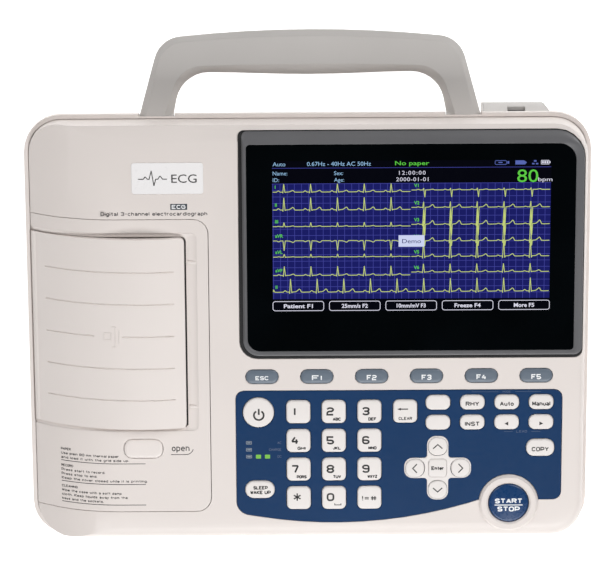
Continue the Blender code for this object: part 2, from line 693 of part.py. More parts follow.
def make_printer_cover():
    origin = (HINGE_X, (DOOR_W[0] + DOOR_W[1]) / 2, HINGE_H)
    inner = DOOR_RADIUS - DOOR_THICK
    band = along_w(door_profile(DOOR_RADIUS, inner, DOOR_X), *DOOR_W)
    cover = make_object("printer_cover", [band], WHITE, origin=origin)
    plan = rounded_rectangle((OUT_LEFT, DOOR_X), DOOR_W, (0.5, DOOR_CORNER, DOOR_CORNER, 0.5), 4)
    keep(cover, make_object("cover_plan", [prism(plan, 3 * LOW, HIGH)]))
    join(cover, make_object("knuckle", [hinge_rod(KNUCKLE_RADIUS, *DOOR_W)]))
    shaft_hole = ROLLER_SHAFT + HINGE_CLEARANCE
    boss_radius = shaft_hole + ARM_WALL
    boss = arc((ROLLER_X, ROLLER_H), boss_radius, 180, 360, 8)
    profile = boss + [(ROLLER_X + boss_radius, ARM_TOP), (ROLLER_X - boss_radius, ARM_TOP)]
    arms = []
    for inner_face, side in ((ROLLER_W[0] - ARM_GAP, -1), (ROLLER_W[1] + ARM_GAP, 1)):
        arms.append(along_w(profile, inner_face, inner_face + side * ARM_THICK))
    join(cover, make_object("roller_arms", arms))
    bore = along_w(circle((ROLLER_X, ROLLER_H), shaft_hole, 12), *grown(ROLLER_W, 8))
    cut(cover, make_object("roller_bore", [bore]))
    gear_right = ROLLER_W[0] - ARM_GAP - ARM_THICK
    gear_left = gear_right - ARM_GAP - GEAR_WIDTH - GEAR_RELIEF
    sweep = circle((ROLLER_X, ROLLER_H), GEAR_MODULE * (ROLLER_TEETH / 2 + 1) + GEAR_RELIEF, 20)
    cut(cover, make_object("gear_relief", [along_w(sweep, gear_left, gear_right - 0.1)]))
    pin_hole = hinge_rod(HINGE_PIN_RADIUS + HINGE_CLEARANCE, *grown(DOOR_W, 1))
    cut(cover, make_object("pin_hole", [pin_hole]))
    grooves = []
    for i, w in enumerate(GROOVE_W):
        spans = [GROOVE_X] if i != 2 else [(GROOVE_X[0], GROOVE_GAP_X[0]), (GROOVE_GAP_X[1], GROOVE_X[1])]
        for x0, x1 in spans:
            grooves.append(groove_stack(w, x0, x1))
    cut(cover, make_object("grooves", grooves))
    pin = hinge_rod(HINGE_PIN_RADIUS, *grown(DOOR_W, PIN_ENGAGEMENT), steps=12)
    make_object("cover_hinge_pin", [pin], STEEL)


def groove_stack(w, x0, x1):
    """A V-shaped cutter that follows the crown of the door."""
    cx, cy = DOOR_CENTRE
    rings = []
    for step in range(15):
        x = x0 + (x1 - x0) * step / 14
        lift = math.sqrt(DOOR_RADIUS ** 2 - (x - cx) ** 2)
        nx, nh = (x - cx) / DOOR_RADIUS, lift / DOOR_RADIUS
        high, low = DOOR_RADIUS + GROOVE_DEPTH, DOOR_RADIUS - GROOVE_DEPTH
        wide = GROOVE_WIDTH
        rings.append([(cx + nx * high, w - wide, cy + nh * high), (cx + nx * low, w, cy + nh * low),
                      (cx + nx * high, w + wide, cy + nh * high)])
    return rings


def gear_outline(centre, teeth, turn):
    """A spur gear with straight-flanked teeth, thinned for running clearance."""
    pitch = GEAR_MODULE * teeth / 2
    root, tip = pitch - 1.25 * GEAR_MODULE, pitch + 0.85 * GEAR_MODULE
    half = math.pi / (2 * teeth) - GEAR_BACKLASH / (2 * pitch)
    points = []
    for tooth in range(teeth):
        middle = turn + 2 * math.pi * tooth / teeth
        for radius, offset in ((root, -1.35 * half), (tip, -0.5 * half), (tip, 0.5 * half),
                               (root, 1.35 * half)):
            angle = middle + offset
            points.append((centre[0] + radius * math.cos(angle), centre[1] + radius * math.sin(angle)))
    return points


GEAR_DISTANCE = GEAR_MODULE * (ROLLER_TEETH + PINION_TEETH) / 2 + 0.1
PINION_H = ROLLER_H - PINION_DROP
PINION_X = ROLLER_X - math.sqrt(GEAR_DISTANCE ** 2 - PINION_DROP ** 2)
LINE_ANGLE = math.atan2(PINION_H - ROLLER_H, PINION_X - ROLLER_X)


def make_drive():
    middle = (ROLLER_W[0] + ROLLER_W[1]) / 2
    arm = ARM_GAP + ARM_THICK
    gear_w = (ROLLER_W[0] - arm - ARM_GAP - GEAR_WIDTH, ROLLER_W[0] - arm - ARM_GAP)
    barrel = along_w(circle((ROLLER_X, ROLLER_H), ROLLER_RADIUS, 20), *ROLLER_W)
    roller = make_object("platen_roller", [barrel], RUBBER, origin=(ROLLER_X, middle, ROLLER_H))
    shaft = along_w(circle((ROLLER_X, ROLLER_H), ROLLER_SHAFT, 12), gear_w[0] - 1.0,
                    ROLLER_W[1] + arm + 0.6)
    join(roller, make_object("roller_shaft", [shaft]))
    gear = along_w(gear_outline((ROLLER_X, ROLLER_H), ROLLER_TEETH, LINE_ANGLE), *gear_w)
    join(roller, make_object("roller_gear", [gear]))
    pinion_turn = LINE_ANGLE + math.pi + math.pi / PINION_TEETH
    pinion = along_w(gear_outline((PINION_X, PINION_H), PINION_TEETH, pinion_turn), *gear_w)
    pinion_origin = (PINION_X, sum(gear_w) / 2, PINION_H)
    made = make_object("motor_pinion", [pinion], STEEL, origin=pinion_origin)
    bore = along_w(circle((PINION_X, PINION_H), MOTOR_SHAFT + 0.1, 10), gear_w[0] - 1, gear_w[1] + 1)
    cut(made, make_object("pinion_bore", [bore]))
    motor_face = DECK_REAR - FIT
    motor = along_w(circle((PINION_X, PINION_H), MOTOR_RADIUS, 20), motor_face - MOTOR_LENGTH, motor_face)
    body = make_object("paper_motor", [motor], STEEL)
    spindle = along_w(circle((PINION_X, PINION_H), MOTOR_SHAFT - 0.2, 10), motor_face - 2, gear_w[1] + 0.5)
    join(body, make_object("spindle", [spindle]))
    head_top = ROLLER_H - ROLLER_RADIUS - HEAD_GAP
    make_object("print_head", [box(HEAD_X, (ROLLER_W[0] - 0.5, ROLLER_W[1] + 0.5),
                                   (head_top - HEAD_THICK, head_top))], STEEL)


# ---------------------------------------------------------------- bottom shell, drawn upright

def base_outline(inset, z):
    """The casing's foot print in the world, at height z."""
    front = panel_to_world(RIM_FRONT, PARTING)[0] + BASE_INSET_FRONT + inset
    rear = panel_to_world(RIM_REAR, PARTING)[0] - BASE_INSET_REAR - inset
    side = HALF_WIDTH - BASE_INSET_SIDE - inset
    plan = rounded_rectangle((-side, side), (front, rear), BASE_RADIUS - inset, 7)
    return [(x, y, z) for x, y in plan]


def rim_ring(inset, h):
    ring = []
    for x, w in casing_outline(inset):
        y, z = panel_to_world(w, h)
        ring.append((x, y, z))
    return ring


def make_bottom_shell():
    spread, rise = BASE_EDGE
    rings = [base_outline(0, BASE_Z), base_outline(-spread, BASE_Z + rise), rim_ring(0, PARTING - 2),
             rim_ring(0, PARTING + LIP_RISE)]
    shell = make_object("bottom_shell", [rings], WHITE, parent=None)
    cavity = make_object("bottom_cavity", [[base_outline(SHELL_WALL, BASE_Z + BASE_WALL),
                                            rim_ring(RIM_SHELF, PARTING + 3)]], parent=None)
    bay_x = (HANDLE_X - BAY_HALF, HANDLE_X + BAY_HALF)
    wall = SHELL_WALL
    liner = box(grown(bay_x, wall), (BAY_Y - wall, OUTSIDE), (UNDER, BAY_TOP + wall))
    cut(cavity, make_object("bay_liner", [liner], parent=None))
    cut(shell, cavity)
    cut(shell, make_object("lip_step", [prism(casing_outline(LIP_WIDTH), PARTING, HIGH)]))
    bay = make_object("handle_bay", [box(bay_x, (BAY_Y, OUTSIDE), (UNDER, BAY_TOP))], parent=None)
    bearings = [box(span, (BAY_Y - 1, BEARING_Y), (BEARING_FLOOR, BAY_TOP + 1))
                for span in both_sides(BEARING_INNER, BEARING_HALF)]
    cut(bay, make_object("bearing_blocks", bearings, parent=None))
    cut(shell, bay)
    rim_y = panel_to_world(RIM_REAR, PARTING)[0]
    notches = [box(span, (rim_y - LEG_NOTCH, OUTSIDE), (BAY_TOP - 2, PANEL_Z + 20))
               for span in both_sides(LEG_INNER - LEG_PLAY, LEG_OUTER + LEG_PLAY)]
    cut(shell, make_object("leg_notches", notches, parent=None))
    bore = circle((PIVOT_Y, PIVOT_Z), TRUNNION_RADIUS + FIT, 16)
    bores = [along_x(bore, *span) for span in both_sides(TRUNNION_END - 1, LEG_INNER + 5)]
    cut(shell, make_object("trunnion_bores", bores, parent=None))
    cut(shell, make_object("knuckle_pocket", [hinge_rod(KNUCKLE_SWEEP, *grown(DOOR_W, DOOR_GAP))]))
    port_hole = box(grown(PORT_X, FIT), (PORT_FRONT - 6, OUTSIDE), (PORT_FLOOR - FIT, PORT_TOP + FIT))
    inlet_hole = box(grown(INLET_X, FIT), (INLET_Y[0] - FIT, OUTSIDE), grown(INLET_Z, FIT))
    socket_hole = box((SOCKET_X[0] - FIT, OUTSIDE), grown(SOCKET_Y, FIT), grown(SOCKET_Z, FIT))
    cut(shell, make_object("wall_holes", [port_hole, inlet_hole, socket_hole], parent=None))
    border = COVER_BORDER + FIT
    cover_hole = box(grown(BATTERY_X, border), grown(BATTERY_Y, border), (UNDER, BASE_Z + 2 * BASE_WALL))
    cut(shell, make_object("battery_opening", [cover_hole], parent=None))
    join(shell, make_object("board_posts", post_stacks(), parent=None))


def post_stacks():
    """Four posts that carry the main board."""
    xs = (MAIN_BOARD_X[0] + POST_INSET[0], MAIN_BOARD_X[1] - POST_INSET[1])
    ys = (MAIN_BOARD_Y[0] + POST_INSET[1], MAIN_BOARD_Y[1] - POST_INSET[0])
    return [prism(circle((x, y), POST_RADIUS, 12), BASE_Z + 1, MAIN_BOARD_Z - FIT) for x in xs for y in ys]


def make_inside():
    board = make_object("main_board", [box(MAIN_BOARD_X, MAIN_BOARD_Y,
                                           (MAIN_BOARD_Z, MAIN_BOARD_Z + BOARD_THICK))], BOARD, parent=None)
    top = MAIN_BOARD_Z + BOARD_THICK
    parts = [box(xs, ys, (top - 0.5, top + height)) for xs, ys, height in BOARD_PARTS]
    join(board, make_object("board_parts", parts, parent=None))
    floor = BASE_Z + BASE_WALL
    make_object("battery_cover", [box(grown(BATTERY_X, COVER_BORDER), grown(BATTERY_Y, COVER_BORDER),
                                      (BASE_Z, floor))], WHITE, parent=None)
    low = floor + FIT
    outline = rounded_rectangle(BATTERY_X, BATTERY_Y, BATTERY_RADIUS, 3)
    make_object("battery_pack", [prism(outline, low, low + BATTERY_THICK)], DARK, parent=None)
    for name, y in (("foot_strip_front", FOOT_FRONT_Y), ("foot_strip_rear", FOOT_REAR_Y)):
        plan = rounded_rectangle(FOOT_X, (y - FOOT_DEPTH / 2, y + FOOT_DEPTH / 2), FOOT_RADIUS, 3)
        make_object(name, [prism(plan, 0, BASE_Z - FIT)], RUBBER, parent=None)


# ---------------------------------------------------------------- handle and rear connectors

def handle_stations():
    """(outer, inner, bow) of half the handle, from the pivot to the middle of the bar, in x and y."""
    rim_y = panel_to_world(RIM_REAR, PARTING)[0]
    bar_outer, bar_inner = HANDLE_REACH, HANDLE_REACH - BAR_DEPTH
    stations = [((LEG_OUTER, y), (LEG_INNER, y), 0.0) for y in (PIVOT_Y, rim_y)]
    outer = corner_arc((LEG_OUTER, rim_y), OUTER_LEAN, bar_outer, HANDLE_BOW, OUTER_CORNER)
    inner = corner_arc((LEG_INNER, rim_y), INNER_LEAN, bar_inner, 0.0, INNER_CORNER)
    stations += [(*pair, 0.0) for pair in zip(outer, inner)]
    (outer_x, outer_y), (inner_x, _), _ = stations[-1]
    sag = (bar_outer - outer_y) / outer_x ** 2
    for step in range(1, BAR_STEPS + 1):
        left = 1 - step / BAR_STEPS
        crown = bar_outer - sag * (outer_x * left) ** 2
        bow = GRIP_BOW * (1 - left ** 2) ** 2
        stations.append(((outer_x * left, crown), (inner_x * left, bar_inner - bow), bow))
    return stations


def corner_arc(root, lean, bar_y, bow, radius, steps=7):
    """The rounded corner between a leg that leans inwards and the bowed bar, as points."""
    leg = Vector((-lean, 1.0)).normalized()
    end = bar_y - bow
    reach = (end - root[1]) / leg.y
    corner = Vector(root) + leg * reach
    bar = (Vector((0.0, bar_y)) - corner).normalized()
    half = leg.angle(bar) / 2
    length = radius * math.tan(half)
    start = corner - leg * length
    normal = Vector((-leg.y, leg.x))
    centre = start + normal * radius
    first = math.atan2(start.y - centre.y, start.x - centre.x)
    return [(centre.x + radius * math.cos(first + 2 * half * i / steps),
             centre.y + radius * math.sin(first + 2 * half * i / steps)) for i in range(steps + 1)]


def handle_section(outer, inner, bow):
    """An eight-sided section between an outer and an inner plan point, its grip facet widened by bow."""
    a, b = Vector(outer), Vector(inner)
    across = (b - a).normalized()
    r = HANDLE_RADIUS
    ring = []
    for base, (width, drop), sign in ((a, HANDLE_OUTER_BEVEL, 1), (b, HANDLE_INNER_BEVEL, -1)):
        spread = width if sign > 0 else width + bow
        near = [(base, r - drop), (base + across * spread * sign, r)]
        ring.append([(HANDLE_X + p.x, p.y, PIVOT_Z + z) for p, z in near])
    (a_side, a_top), (b_side, b_top) = ring
    upper = [a_side, a_top, b_top, b_side]
    return upper + [(x, y, 2 * PIVOT_Z - z) for x, y, z in reversed(upper)]


def make_handle():
    half = handle_stations()
    rings = [handle_section(*station) for station in half]
    mirrored = [[(2 * HANDLE_X - x, y, z) for x, y, z in ring] for ring in rings[-2::-1]]
    handle = make_object("handle", [rings + mirrored], GREY, parent=None,
                         origin=(HANDLE_X, PIVOT_Y, PIVOT_Z), smooth=25)
    knuckle = circle((PIVOT_Y, PIVOT_Z), HANDLE_RADIUS, 20)
    ends = [along_x(knuckle, *span) for span in both_sides(LEG_INNER + 0.05, LEG_OUTER - 0.05)]
    join(handle, make_object("leg_ends", ends, parent=None))
    peg = circle((PIVOT_Y, PIVOT_Z), TRUNNION_RADIUS, 14)
    pegs = [along_x(peg, *span) for span in both_sides(TRUNNION_END, LEG_INNER + 3)]
    join(handle, make_object("trunnions", pegs, parent=None))


def make_rear_connectors():
    profile = [(PORT_FRONT, PORT_TOP), (PORT_FRONT, PORT_FLOOR), (PORT_REAR - PORT_CHIN, PORT_FLOOR),
               (PORT_REAR, PORT_FLOOR + PORT_CHIN), (PORT_REAR, PORT_SLOPE_Z), (PORT_SLOPE_Y, PORT_TOP)]
    port = make_object("port_housing", [along_x(profile, *PORT_X)], GREY, parent=None)
    slope = Vector((PORT_SLOPE_Y - PORT_REAR, PORT_TOP - PORT_SLOPE_Z)).normalized()
    inward = Vector((-slope.y, slope.x))
    middle = Vector((PORT_REAR + PORT_SLOPE_Y, PORT_SLOPE_Z + PORT_TOP)) / 2 + slope * PORT_SLOT_RISE
    half = slope * PORT_SLOT_HEIGHT / 2
    corners = [middle - half - inward * 3, middle + half - inward * 3,
               middle + half + inward * PORT_SLOT_DEPTH, middle - half + inward * PORT_SLOT_DEPTH]
    slot = along_x([(c.x, c.y) for c in corners], *PORT_SLOT_X)
    outer = PORT_REAR + 5
    corner = [(PORT_X[1], PORT_SLOPE_Y), (PORT_X[1] + 5, PORT_SLOPE_Y), (PORT_X[1] + 5, outer),
              (PORT_X[1] - PORT_TAPER, outer)]
    taper = prism(corner, PORT_FLOOR - 5, PORT_TOP + 5)
    cut(port, make_object("port_taper", [taper], parent=None))
    cut(port, make_object("port_slot", [slot], parent=None))
    inlet = make_object("mains_inlet", [box(INLET_X, INLET_Y, INLET_Z)], DARK, parent=None)
    x = (INLET_X[0] + INLET_X[1]) / 2
    z = (INLET_Z[0] + INLET_Z[1]) / 2
    mouth = box((x - INLET_MOUTH[0] / 2, x + INLET_MOUTH[0] / 2), (INLET_Y[1] - INLET_DEPTH, INLET_Y[1] + 2),
                (z - INLET_MOUTH[1] / 2, z + INLET_MOUTH[1] / 2))
    cut(inlet, make_object("inlet_mouth", [mouth], parent=None))
    width, height = BLADE_SIZE
    blades = [box((x + dx - width / 2, x + dx + width / 2),
                  (INLET_Y[1] - INLET_DEPTH - 1, INLET_Y[1] - BLADE_BACK),
                  (z + dz - height / 2, z + dz + height / 2)) for dx, dz in BLADES]
    join(inlet, make_object("inlet_blades", blades, parent=None))
    socket = make_object("patient_socket", [box(SOCKET_X, SOCKET_Y, SOCKET_Z)], DARK, parent=None)
    z = (SOCKET_Z[0] + SOCKET_Z[1]) / 2
    mouth = box((SOCKET_X[1] - SOCKET_DEPTH, SOCKET_X[1] + 2), (-SOCKET_MOUTH[0] / 2, SOCKET_MOUTH[0] / 2),
                (z - SOCKET_MOUTH[1] / 2, z + SOCKET_MOUTH[1] / 2))
    cut(socket, make_object("socket_mouth", [mouth], parent=None))


make_keys()
make_keypad()
make_top_shell()
make_screen()
make_printer_frame()
make_printer_cover()
make_drive()
make_bottom_shell()
make_inside()
make_handle()
make_rear_connectors()
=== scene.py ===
"""Looks of the tabletop ECG recorder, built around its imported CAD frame.

Marks, keys and trims are drawn in the control panel's own frame, in millimetres: x to the right, w up the
slope and h out of the panel. Ink gathers the flat marks of one piece, and place() turns them into metres.
"""
import json
import math

import bmesh
import bpy
from mathutils import Matrix, Vector


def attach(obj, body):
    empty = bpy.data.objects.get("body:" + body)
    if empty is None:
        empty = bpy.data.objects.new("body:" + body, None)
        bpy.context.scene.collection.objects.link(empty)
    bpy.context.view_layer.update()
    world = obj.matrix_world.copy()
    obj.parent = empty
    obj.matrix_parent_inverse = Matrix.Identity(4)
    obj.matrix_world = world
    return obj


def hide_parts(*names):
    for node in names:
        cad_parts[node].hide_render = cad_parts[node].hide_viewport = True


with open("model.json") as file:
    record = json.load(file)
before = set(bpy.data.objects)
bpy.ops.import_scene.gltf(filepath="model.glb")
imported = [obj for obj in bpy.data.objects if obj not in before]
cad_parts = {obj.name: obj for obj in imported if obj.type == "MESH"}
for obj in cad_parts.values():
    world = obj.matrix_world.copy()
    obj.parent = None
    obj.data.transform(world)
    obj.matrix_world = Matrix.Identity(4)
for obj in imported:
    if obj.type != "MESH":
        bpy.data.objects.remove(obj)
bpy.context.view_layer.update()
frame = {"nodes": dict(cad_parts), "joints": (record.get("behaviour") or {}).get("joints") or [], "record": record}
NODES = frame["nodes"]
JOINTS = {joint["child"]: joint for joint in frame["joints"]}
MM = 0.001

# Panel frame and its rolled-off surfaces
PANEL_Y = 3.2
PANEL_Z = 66.5
PRESS = Vector(JOINTS["open_button"]["axis"])
TILT = math.atan2(PRESS.y, -PRESS.z)
PANEL = Matrix.Translation((0, PANEL_Y * MM, PANEL_Z * MM)) @ Matrix.Rotation(TILT, 4, "X")
ROLL_X = -106.5
ROLL_RADIUS = 74.0
BROW_W = 80.6
BROW_FALL = math.tan(math.radians(23.0))
DOOR_RADIUS = 95.6
DOOR_CENTRE = (-93.8, -91.6)

# Printed marks
INK_SINK = 0.02
INK_RISE = 0.03
KEY_ROUND = 1.1


# ---------------------------------------------------------------- places

def panel_box(node):
    """((x0, x1), (w0, w1), (h0, h1)) of a CAD node in the panel frame, in millimetres."""
    inverse = PANEL.inverted()
    points = [inverse @ vertex.co / MM for vertex in NODES[node].data.vertices]
    return tuple((min(p[i] for p in points), max(p[i] for p in points)) for i in range(3))


def middle(span):
    return (span[0] + span[1]) / 2


def flat(x, w):
    return 0.0


def skin_height(x, w):
    """Height of the casing's skin: rolled off on the left, sloping down behind the brow."""
    roll = 0.0
    if x < ROLL_X:
        roll = math.sqrt(ROLL_RADIUS ** 2 - (x - ROLL_X) ** 2) - ROLL_RADIUS
    brow = -max(0.0, w - BROW_W) * BROW_FALL
    return min(roll, brow)


def door_height(x, w):
    return DOOR_CENTRE[1] + math.sqrt(DOOR_RADIUS ** 2 - (x - DOOR_CENTRE[0]) ** 2)


# ---------------------------------------------------------------- materials

NOISE_RANGE = (0.3, 0.7)
BLOTCH_SCALE = 22.0
GLOW_SCALE = 14.0
GLOW_DIP = 0.94
PANE_SHARE = 0.02
PANE_ROUGHNESS = 0.12


def noise(tree, scale, detail=4.0):
    coordinates = tree.nodes.new("ShaderNodeTexCoord")
    texture = tree.nodes.new("ShaderNodeTexNoise")
    texture.inputs["Scale"].default_value = scale
    texture.inputs["Detail"].default_value = detail
    tree.links.new(coordinates.outputs["Object"], texture.inputs["Vector"])
    return texture.outputs["Fac"]


def ramp(tree, value, low, high):
    """A colour ramp between two linear colours, spread over the noise's usual range."""
    node = tree.nodes.new("ShaderNodeValToRGB")
    node.color_ramp.elements[0].position = NOISE_RANGE[0]
    node.color_ramp.elements[1].position = NOISE_RANGE[1]
    node.color_ramp.elements[0].color = (*low, 1.0)
    node.color_ramp.elements[1].color = (*high, 1.0)
    tree.links.new(value, node.inputs["Fac"])
    return node.outputs["Color"]


def spread(tree, value, low, high):
    node = tree.nodes.new("ShaderNodeMapRange")
    node.inputs["From Min"].default_value = NOISE_RANGE[0]
    node.inputs["From Max"].default_value = NOISE_RANGE[1]
    node.inputs["To Min"].default_value = low
    node.inputs["To Max"].default_value = high
    tree.links.new(value, node.inputs["Value"])
    return node.outputs["Result"]


def moulded(name, colour, roughness, grain=2600.0, depth=0.03, shift=0.03, edge=0.35, specular=0.5,
            metallic=0.0):
    """Moulded plastic or plain metal: a fine grain, slow changes of tone and softened edges."""
    made = bpy.data.materials.new(name)
    made.use_nodes = True
    tree = made.node_tree
    shader = tree.nodes["Principled BSDF"]
    low = tuple(max(0.0, c * (1 - shift)) for c in colour)
    high = tuple(min(1.0, c * (1 + shift)) for c in colour)
    tree.links.new(ramp(tree, noise(tree, BLOTCH_SCALE), low, high), shader.inputs["Base Color"])
    rough = spread(tree, noise(tree, grain / 6), roughness - 0.05, roughness + 0.06)
    tree.links.new(rough, shader.inputs["Roughness"])
    shader.inputs["Specular IOR Level"].default_value = specular
    shader.inputs["Metallic"].default_value = metallic
    bump = tree.nodes.new("ShaderNodeBump")
    bump.inputs["Strength"].default_value = depth * 6
    bump.inputs["Distance"].default_value = depth * MM
    tree.links.new(noise(tree, grain, 2.0), bump.inputs["Height"])
    if edge > 0:
        soft = tree.nodes.new("ShaderNodeBevel")
        soft.samples = 4
        soft.inputs["Radius"].default_value = edge * MM
        tree.links.new(soft.outputs["Normal"], bump.inputs["Normal"])
    tree.links.new(bump.outputs["Normal"], shader.inputs["Normal"])
    return made


def lit(name, colour, strength=1.0):
    """A lit picture element under a glossy pane, with the faint unevenness of a backlight."""
    made = moulded(name, tuple(c * PANE_SHARE for c in colour), PANE_ROUGHNESS, depth=0.0, edge=0, specular=0.2)
    tree = made.node_tree
    shader = tree.nodes["Principled BSDF"]
    low = tuple(c * GLOW_DIP for c in colour)
    tree.links.new(ramp(tree, noise(tree, GLOW_SCALE), low, colour), shader.inputs["Emission Color"])
    shader.inputs["Emission Strength"].default_value = strength
    return made


def make_looks():
    return {
        "casing": moulded("casing_white", (0.80, 0.735, 0.70), 0.46, shift=0.012),
        "door": moulded("door_white", (0.83, 0.765, 0.73), 0.44, shift=0.012),
        "label": moulded("label_white", (0.93, 0.91, 0.91), 0.3, grain=900.0, depth=0.01, shift=0.01),
        "handle": moulded("handle_grey", (0.56, 0.535, 0.515), 0.42, shift=0.02, edge=0.8),
        "bezel": moulded("bezel_grey", (0.135, 0.135, 0.142), 0.36, grain=3200.0, shift=0.05),
        # black of the ring round the bezel: painted shade for the shadow gap round the frame
        "painted_gap_shade": moulded("painted_gap_shade_black", (0.012, 0.012, 0.013), 0.7, shift=0.1),
        "glass": moulded("screen_black", (0.001, 0.0018, 0.0024), 0.09, depth=0.0, edge=0.2, specular=0.16,
                         shift=0.3),
        "field": moulded("field_blue", (0.009, 0.041, 0.122), 0.34, grain=3000.0, depth=0.02, shift=0.05,
                         specular=0.2),
        "key": moulded("key_white", (0.84, 0.795, 0.77), 0.5, grain=3000.0, shift=0.02, edge=0.2),
        "grey_key": moulded("key_grey", (0.14, 0.175, 0.22), 0.42, grain=3000.0, shift=0.05, edge=0.2),
        "blue_key": moulded("key_blue", (0.005, 0.042, 0.14), 0.28, grain=3000.0, depth=0.01, shift=0.05,
                            edge=0.2),
        "black_ink": moulded("ink_black", (0.016, 0.015, 0.015), 0.55, edge=0, shift=0.1),
        "grey_ink": moulded("ink_grey", (0.085, 0.078, 0.078), 0.6, edge=0, shift=0.1),
        "white_ink": moulded("ink_white", (0.93, 0.94, 0.95), 0.5, edge=0, shift=0.02),
        "faint_ink": moulded("ink_faint", (0.075, 0.11, 0.2), 0.5, edge=0, shift=0.05),
        "badge": moulded("badge_slate", (0.05, 0.06, 0.075), 0.4, edge=0, shift=0.08),
        "icon": moulded("icon_grey", (0.28, 0.32, 0.36), 0.45, edge=0, shift=0.05),
        "rubber": moulded("rubber_black", (0.022, 0.022, 0.022), 0.8, grain=1800.0, depth=0.06, shift=0.15),
        "steel": moulded("steel_plain", (0.52, 0.52, 0.53), 0.3, grain=4000.0, metallic=1.0, shift=0.04),
        "board": moulded("board_green", (0.018, 0.12, 0.05), 0.4, grain=700.0, shift=0.2),
        "dark": moulded("connector_black", (0.03, 0.03, 0.032), 0.45, shift=0.1),
        "led": lit("led_green", (0.30, 0.74, 0.13), 0.75),
        "lcd_black": lit("lcd_black", (0.0015, 0.0018, 0.0045)),
        "lcd_navy": lit("lcd_navy", (0.0105, 0.0122, 0.125)),
        "lcd_grid": lit("lcd_grid", (0.055, 0.06, 0.33)),
        "lcd_trace": lit("lcd_trace", (0.56, 0.66, 0.2)),
        "lcd_green": lit("lcd_green", (0.11, 0.6, 0.06)),
        "lcd_cyan": lit("lcd_cyan", (0.29, 0.5, 0.74)),
        "lcd_white": lit("lcd_white", (0.72, 0.72, 0.84)),
        "lcd_box": lit("lcd_box", (0.62, 0.67, 0.9)),
        "lcd_icon": lit("lcd_icon", (0.1, 0.14, 0.45)),
    }


LOOKS = make_looks()


# ---------------------------------------------------------------- lettering

# Each glyph is a list of strokes; a pair of digits is a point, x 0-4 across and y up from the descender.
# The baseline is y 2, small letters reach y 6 and capitals y 8.
GLYPHS = {
    "A": "02 28 42;14 34", "B": "02 08 38 47 46 35 05;35 44 43 32 02", "C": "47 38 18 07 03 12 32 43",
    "D": "02 08 38 47 43 32 02", "E": "48 08 02 42;05 35", "F": "48 08 02;05 35",
    "G": "47 38 18 07 03 12 32 43 45 25", "H": "08 02;48 42;05 45", "I": "08 02", "J": "38 33 22 12 03 04",
    "K": "08 02;48 05 42", "L": "08 02 42", "M": "02 08 23 48 42", "N": "02 08 42 48",
    "O": "12 32 43 47 38 18 07 03 12", "P": "02 08 38 47 45 34 04", "Q": "12 32 43 47 38 18 07 03 12;34 42",
    "R": "02 08 38 47 46 35 05;25 42", "S": "47 38 18 07 06 15 35 44 43 32 12 03", "T": "08 48;28 22",
    "U": "08 03 12 32 43 48", "V": "08 22 48", "W": "08 12 27 32 48", "X": "08 42;48 02",
    "Y": "08 25 48;25 22", "Z": "08 48 02 42", "0": "12 32 43 47 38 18 07 03 12", "1": "08 02",
    "2": "07 18 38 47 46 35 15 04 02 42", "3": "07 18 38 47 46 35 15;35 44 43 32 12 03", "4": "28 04 44;36 32",
    "5": "48 08 05 35 44 43 32 12 03", "6": "47 38 18 07 03 12 32 43 44 35 05", "7": "08 48 22",
    "8": "15 06 07 18 38 47 46 35 15 04 03 12 32 43 44 35", "9": "45 15 06 07 18 38 47 43 32 12 03",
    "a": "06 26 35 32 12 03 14 34", "b": "08 02 22 33 35 26 06", "c": "36 16 05 03 12 32",
    "d": "38 32 12 03 05 16 36", "e": "04 34 35 26 16 05 03 12 32", "f": "28 17 12;06 26",
    "g": "36 16 05 03 12 32;36 31 20 00", "h": "08 02;06 26 35 32", "i": "06 02;08 07", "k": "08 02;36 04 32",
    "l": "08 02", "m": "02 06 36 45 42;26 22", "n": "02 06 26 35 32", "o": "12 22 33 35 26 16 05 03 12",
    "p": "00 06 26 35 33 22 02", "q": "30 36 16 05 03 12 32", "r": "02 06 26", "s": "36 16 05 14 24 33 22 02",
    "t": "18 13 22;06 26",
    "u": "06 03 12 32;36 32", "v": "06 12 26", "w": "06 12 24 32 46", "x": "06 32;36 02", "y": "06 12;26 12 00",
    "z": "06 36 02 32", ".": "02 03", ",": "03 11", "-": "05 25", ":": "03 04;05 06", "!": "08 04;03 02",
    "=": "04 34;06 36", "#": "12 18;32 38;04 44;06 46", "/": "01 28",
}
GLYPH_GAP = 1.7
WORD_GAP = 3.0
CAP_UNITS = 6
BASELINE = 2
SOFT_TURN = math.radians(50)
SHARP_TURN = math.radians(100)
LONGEST_MITRE = 2.0
CAP_SHARE = 0.73


def softened(points):
    """Rounds the gentle turns of a line by cutting them twice, and keeps its sharp corners."""
    for _ in range(2):
        made = [points[0]]
        for before, spot, after in zip(points, points[1:], points[2:]):
            turn = (spot - before).angle(after - spot)
            if 0.02 < turn < SOFT_TURN:
                made += [spot.lerp(before, 0.25), spot.lerp(after, 0.25)]
            else:
                made.append(spot)
        made.append(points[-1])
        points = made
    return points


def word_strokes(words):
    """The strokes of a line of lettering in glyph units, and its width."""
    strokes, x = [], 0.0
    for letter in words:
        if letter == " ":
            x += WORD_GAP
            continue
        points = [[Vector((int(pair[0]) + x, int(pair[1]) - BASELINE)) for pair in stroke.split()]
                  for stroke in GLYPHS[letter].split(";")]
        strokes += [softened(stroke) for stroke in points]
        x = max(point.x for stroke in points for point in stroke) + GLYPH_GAP
    return strokes, x - GLYPH_GAP


# ---------------------------------------------------------------- mesh helpers

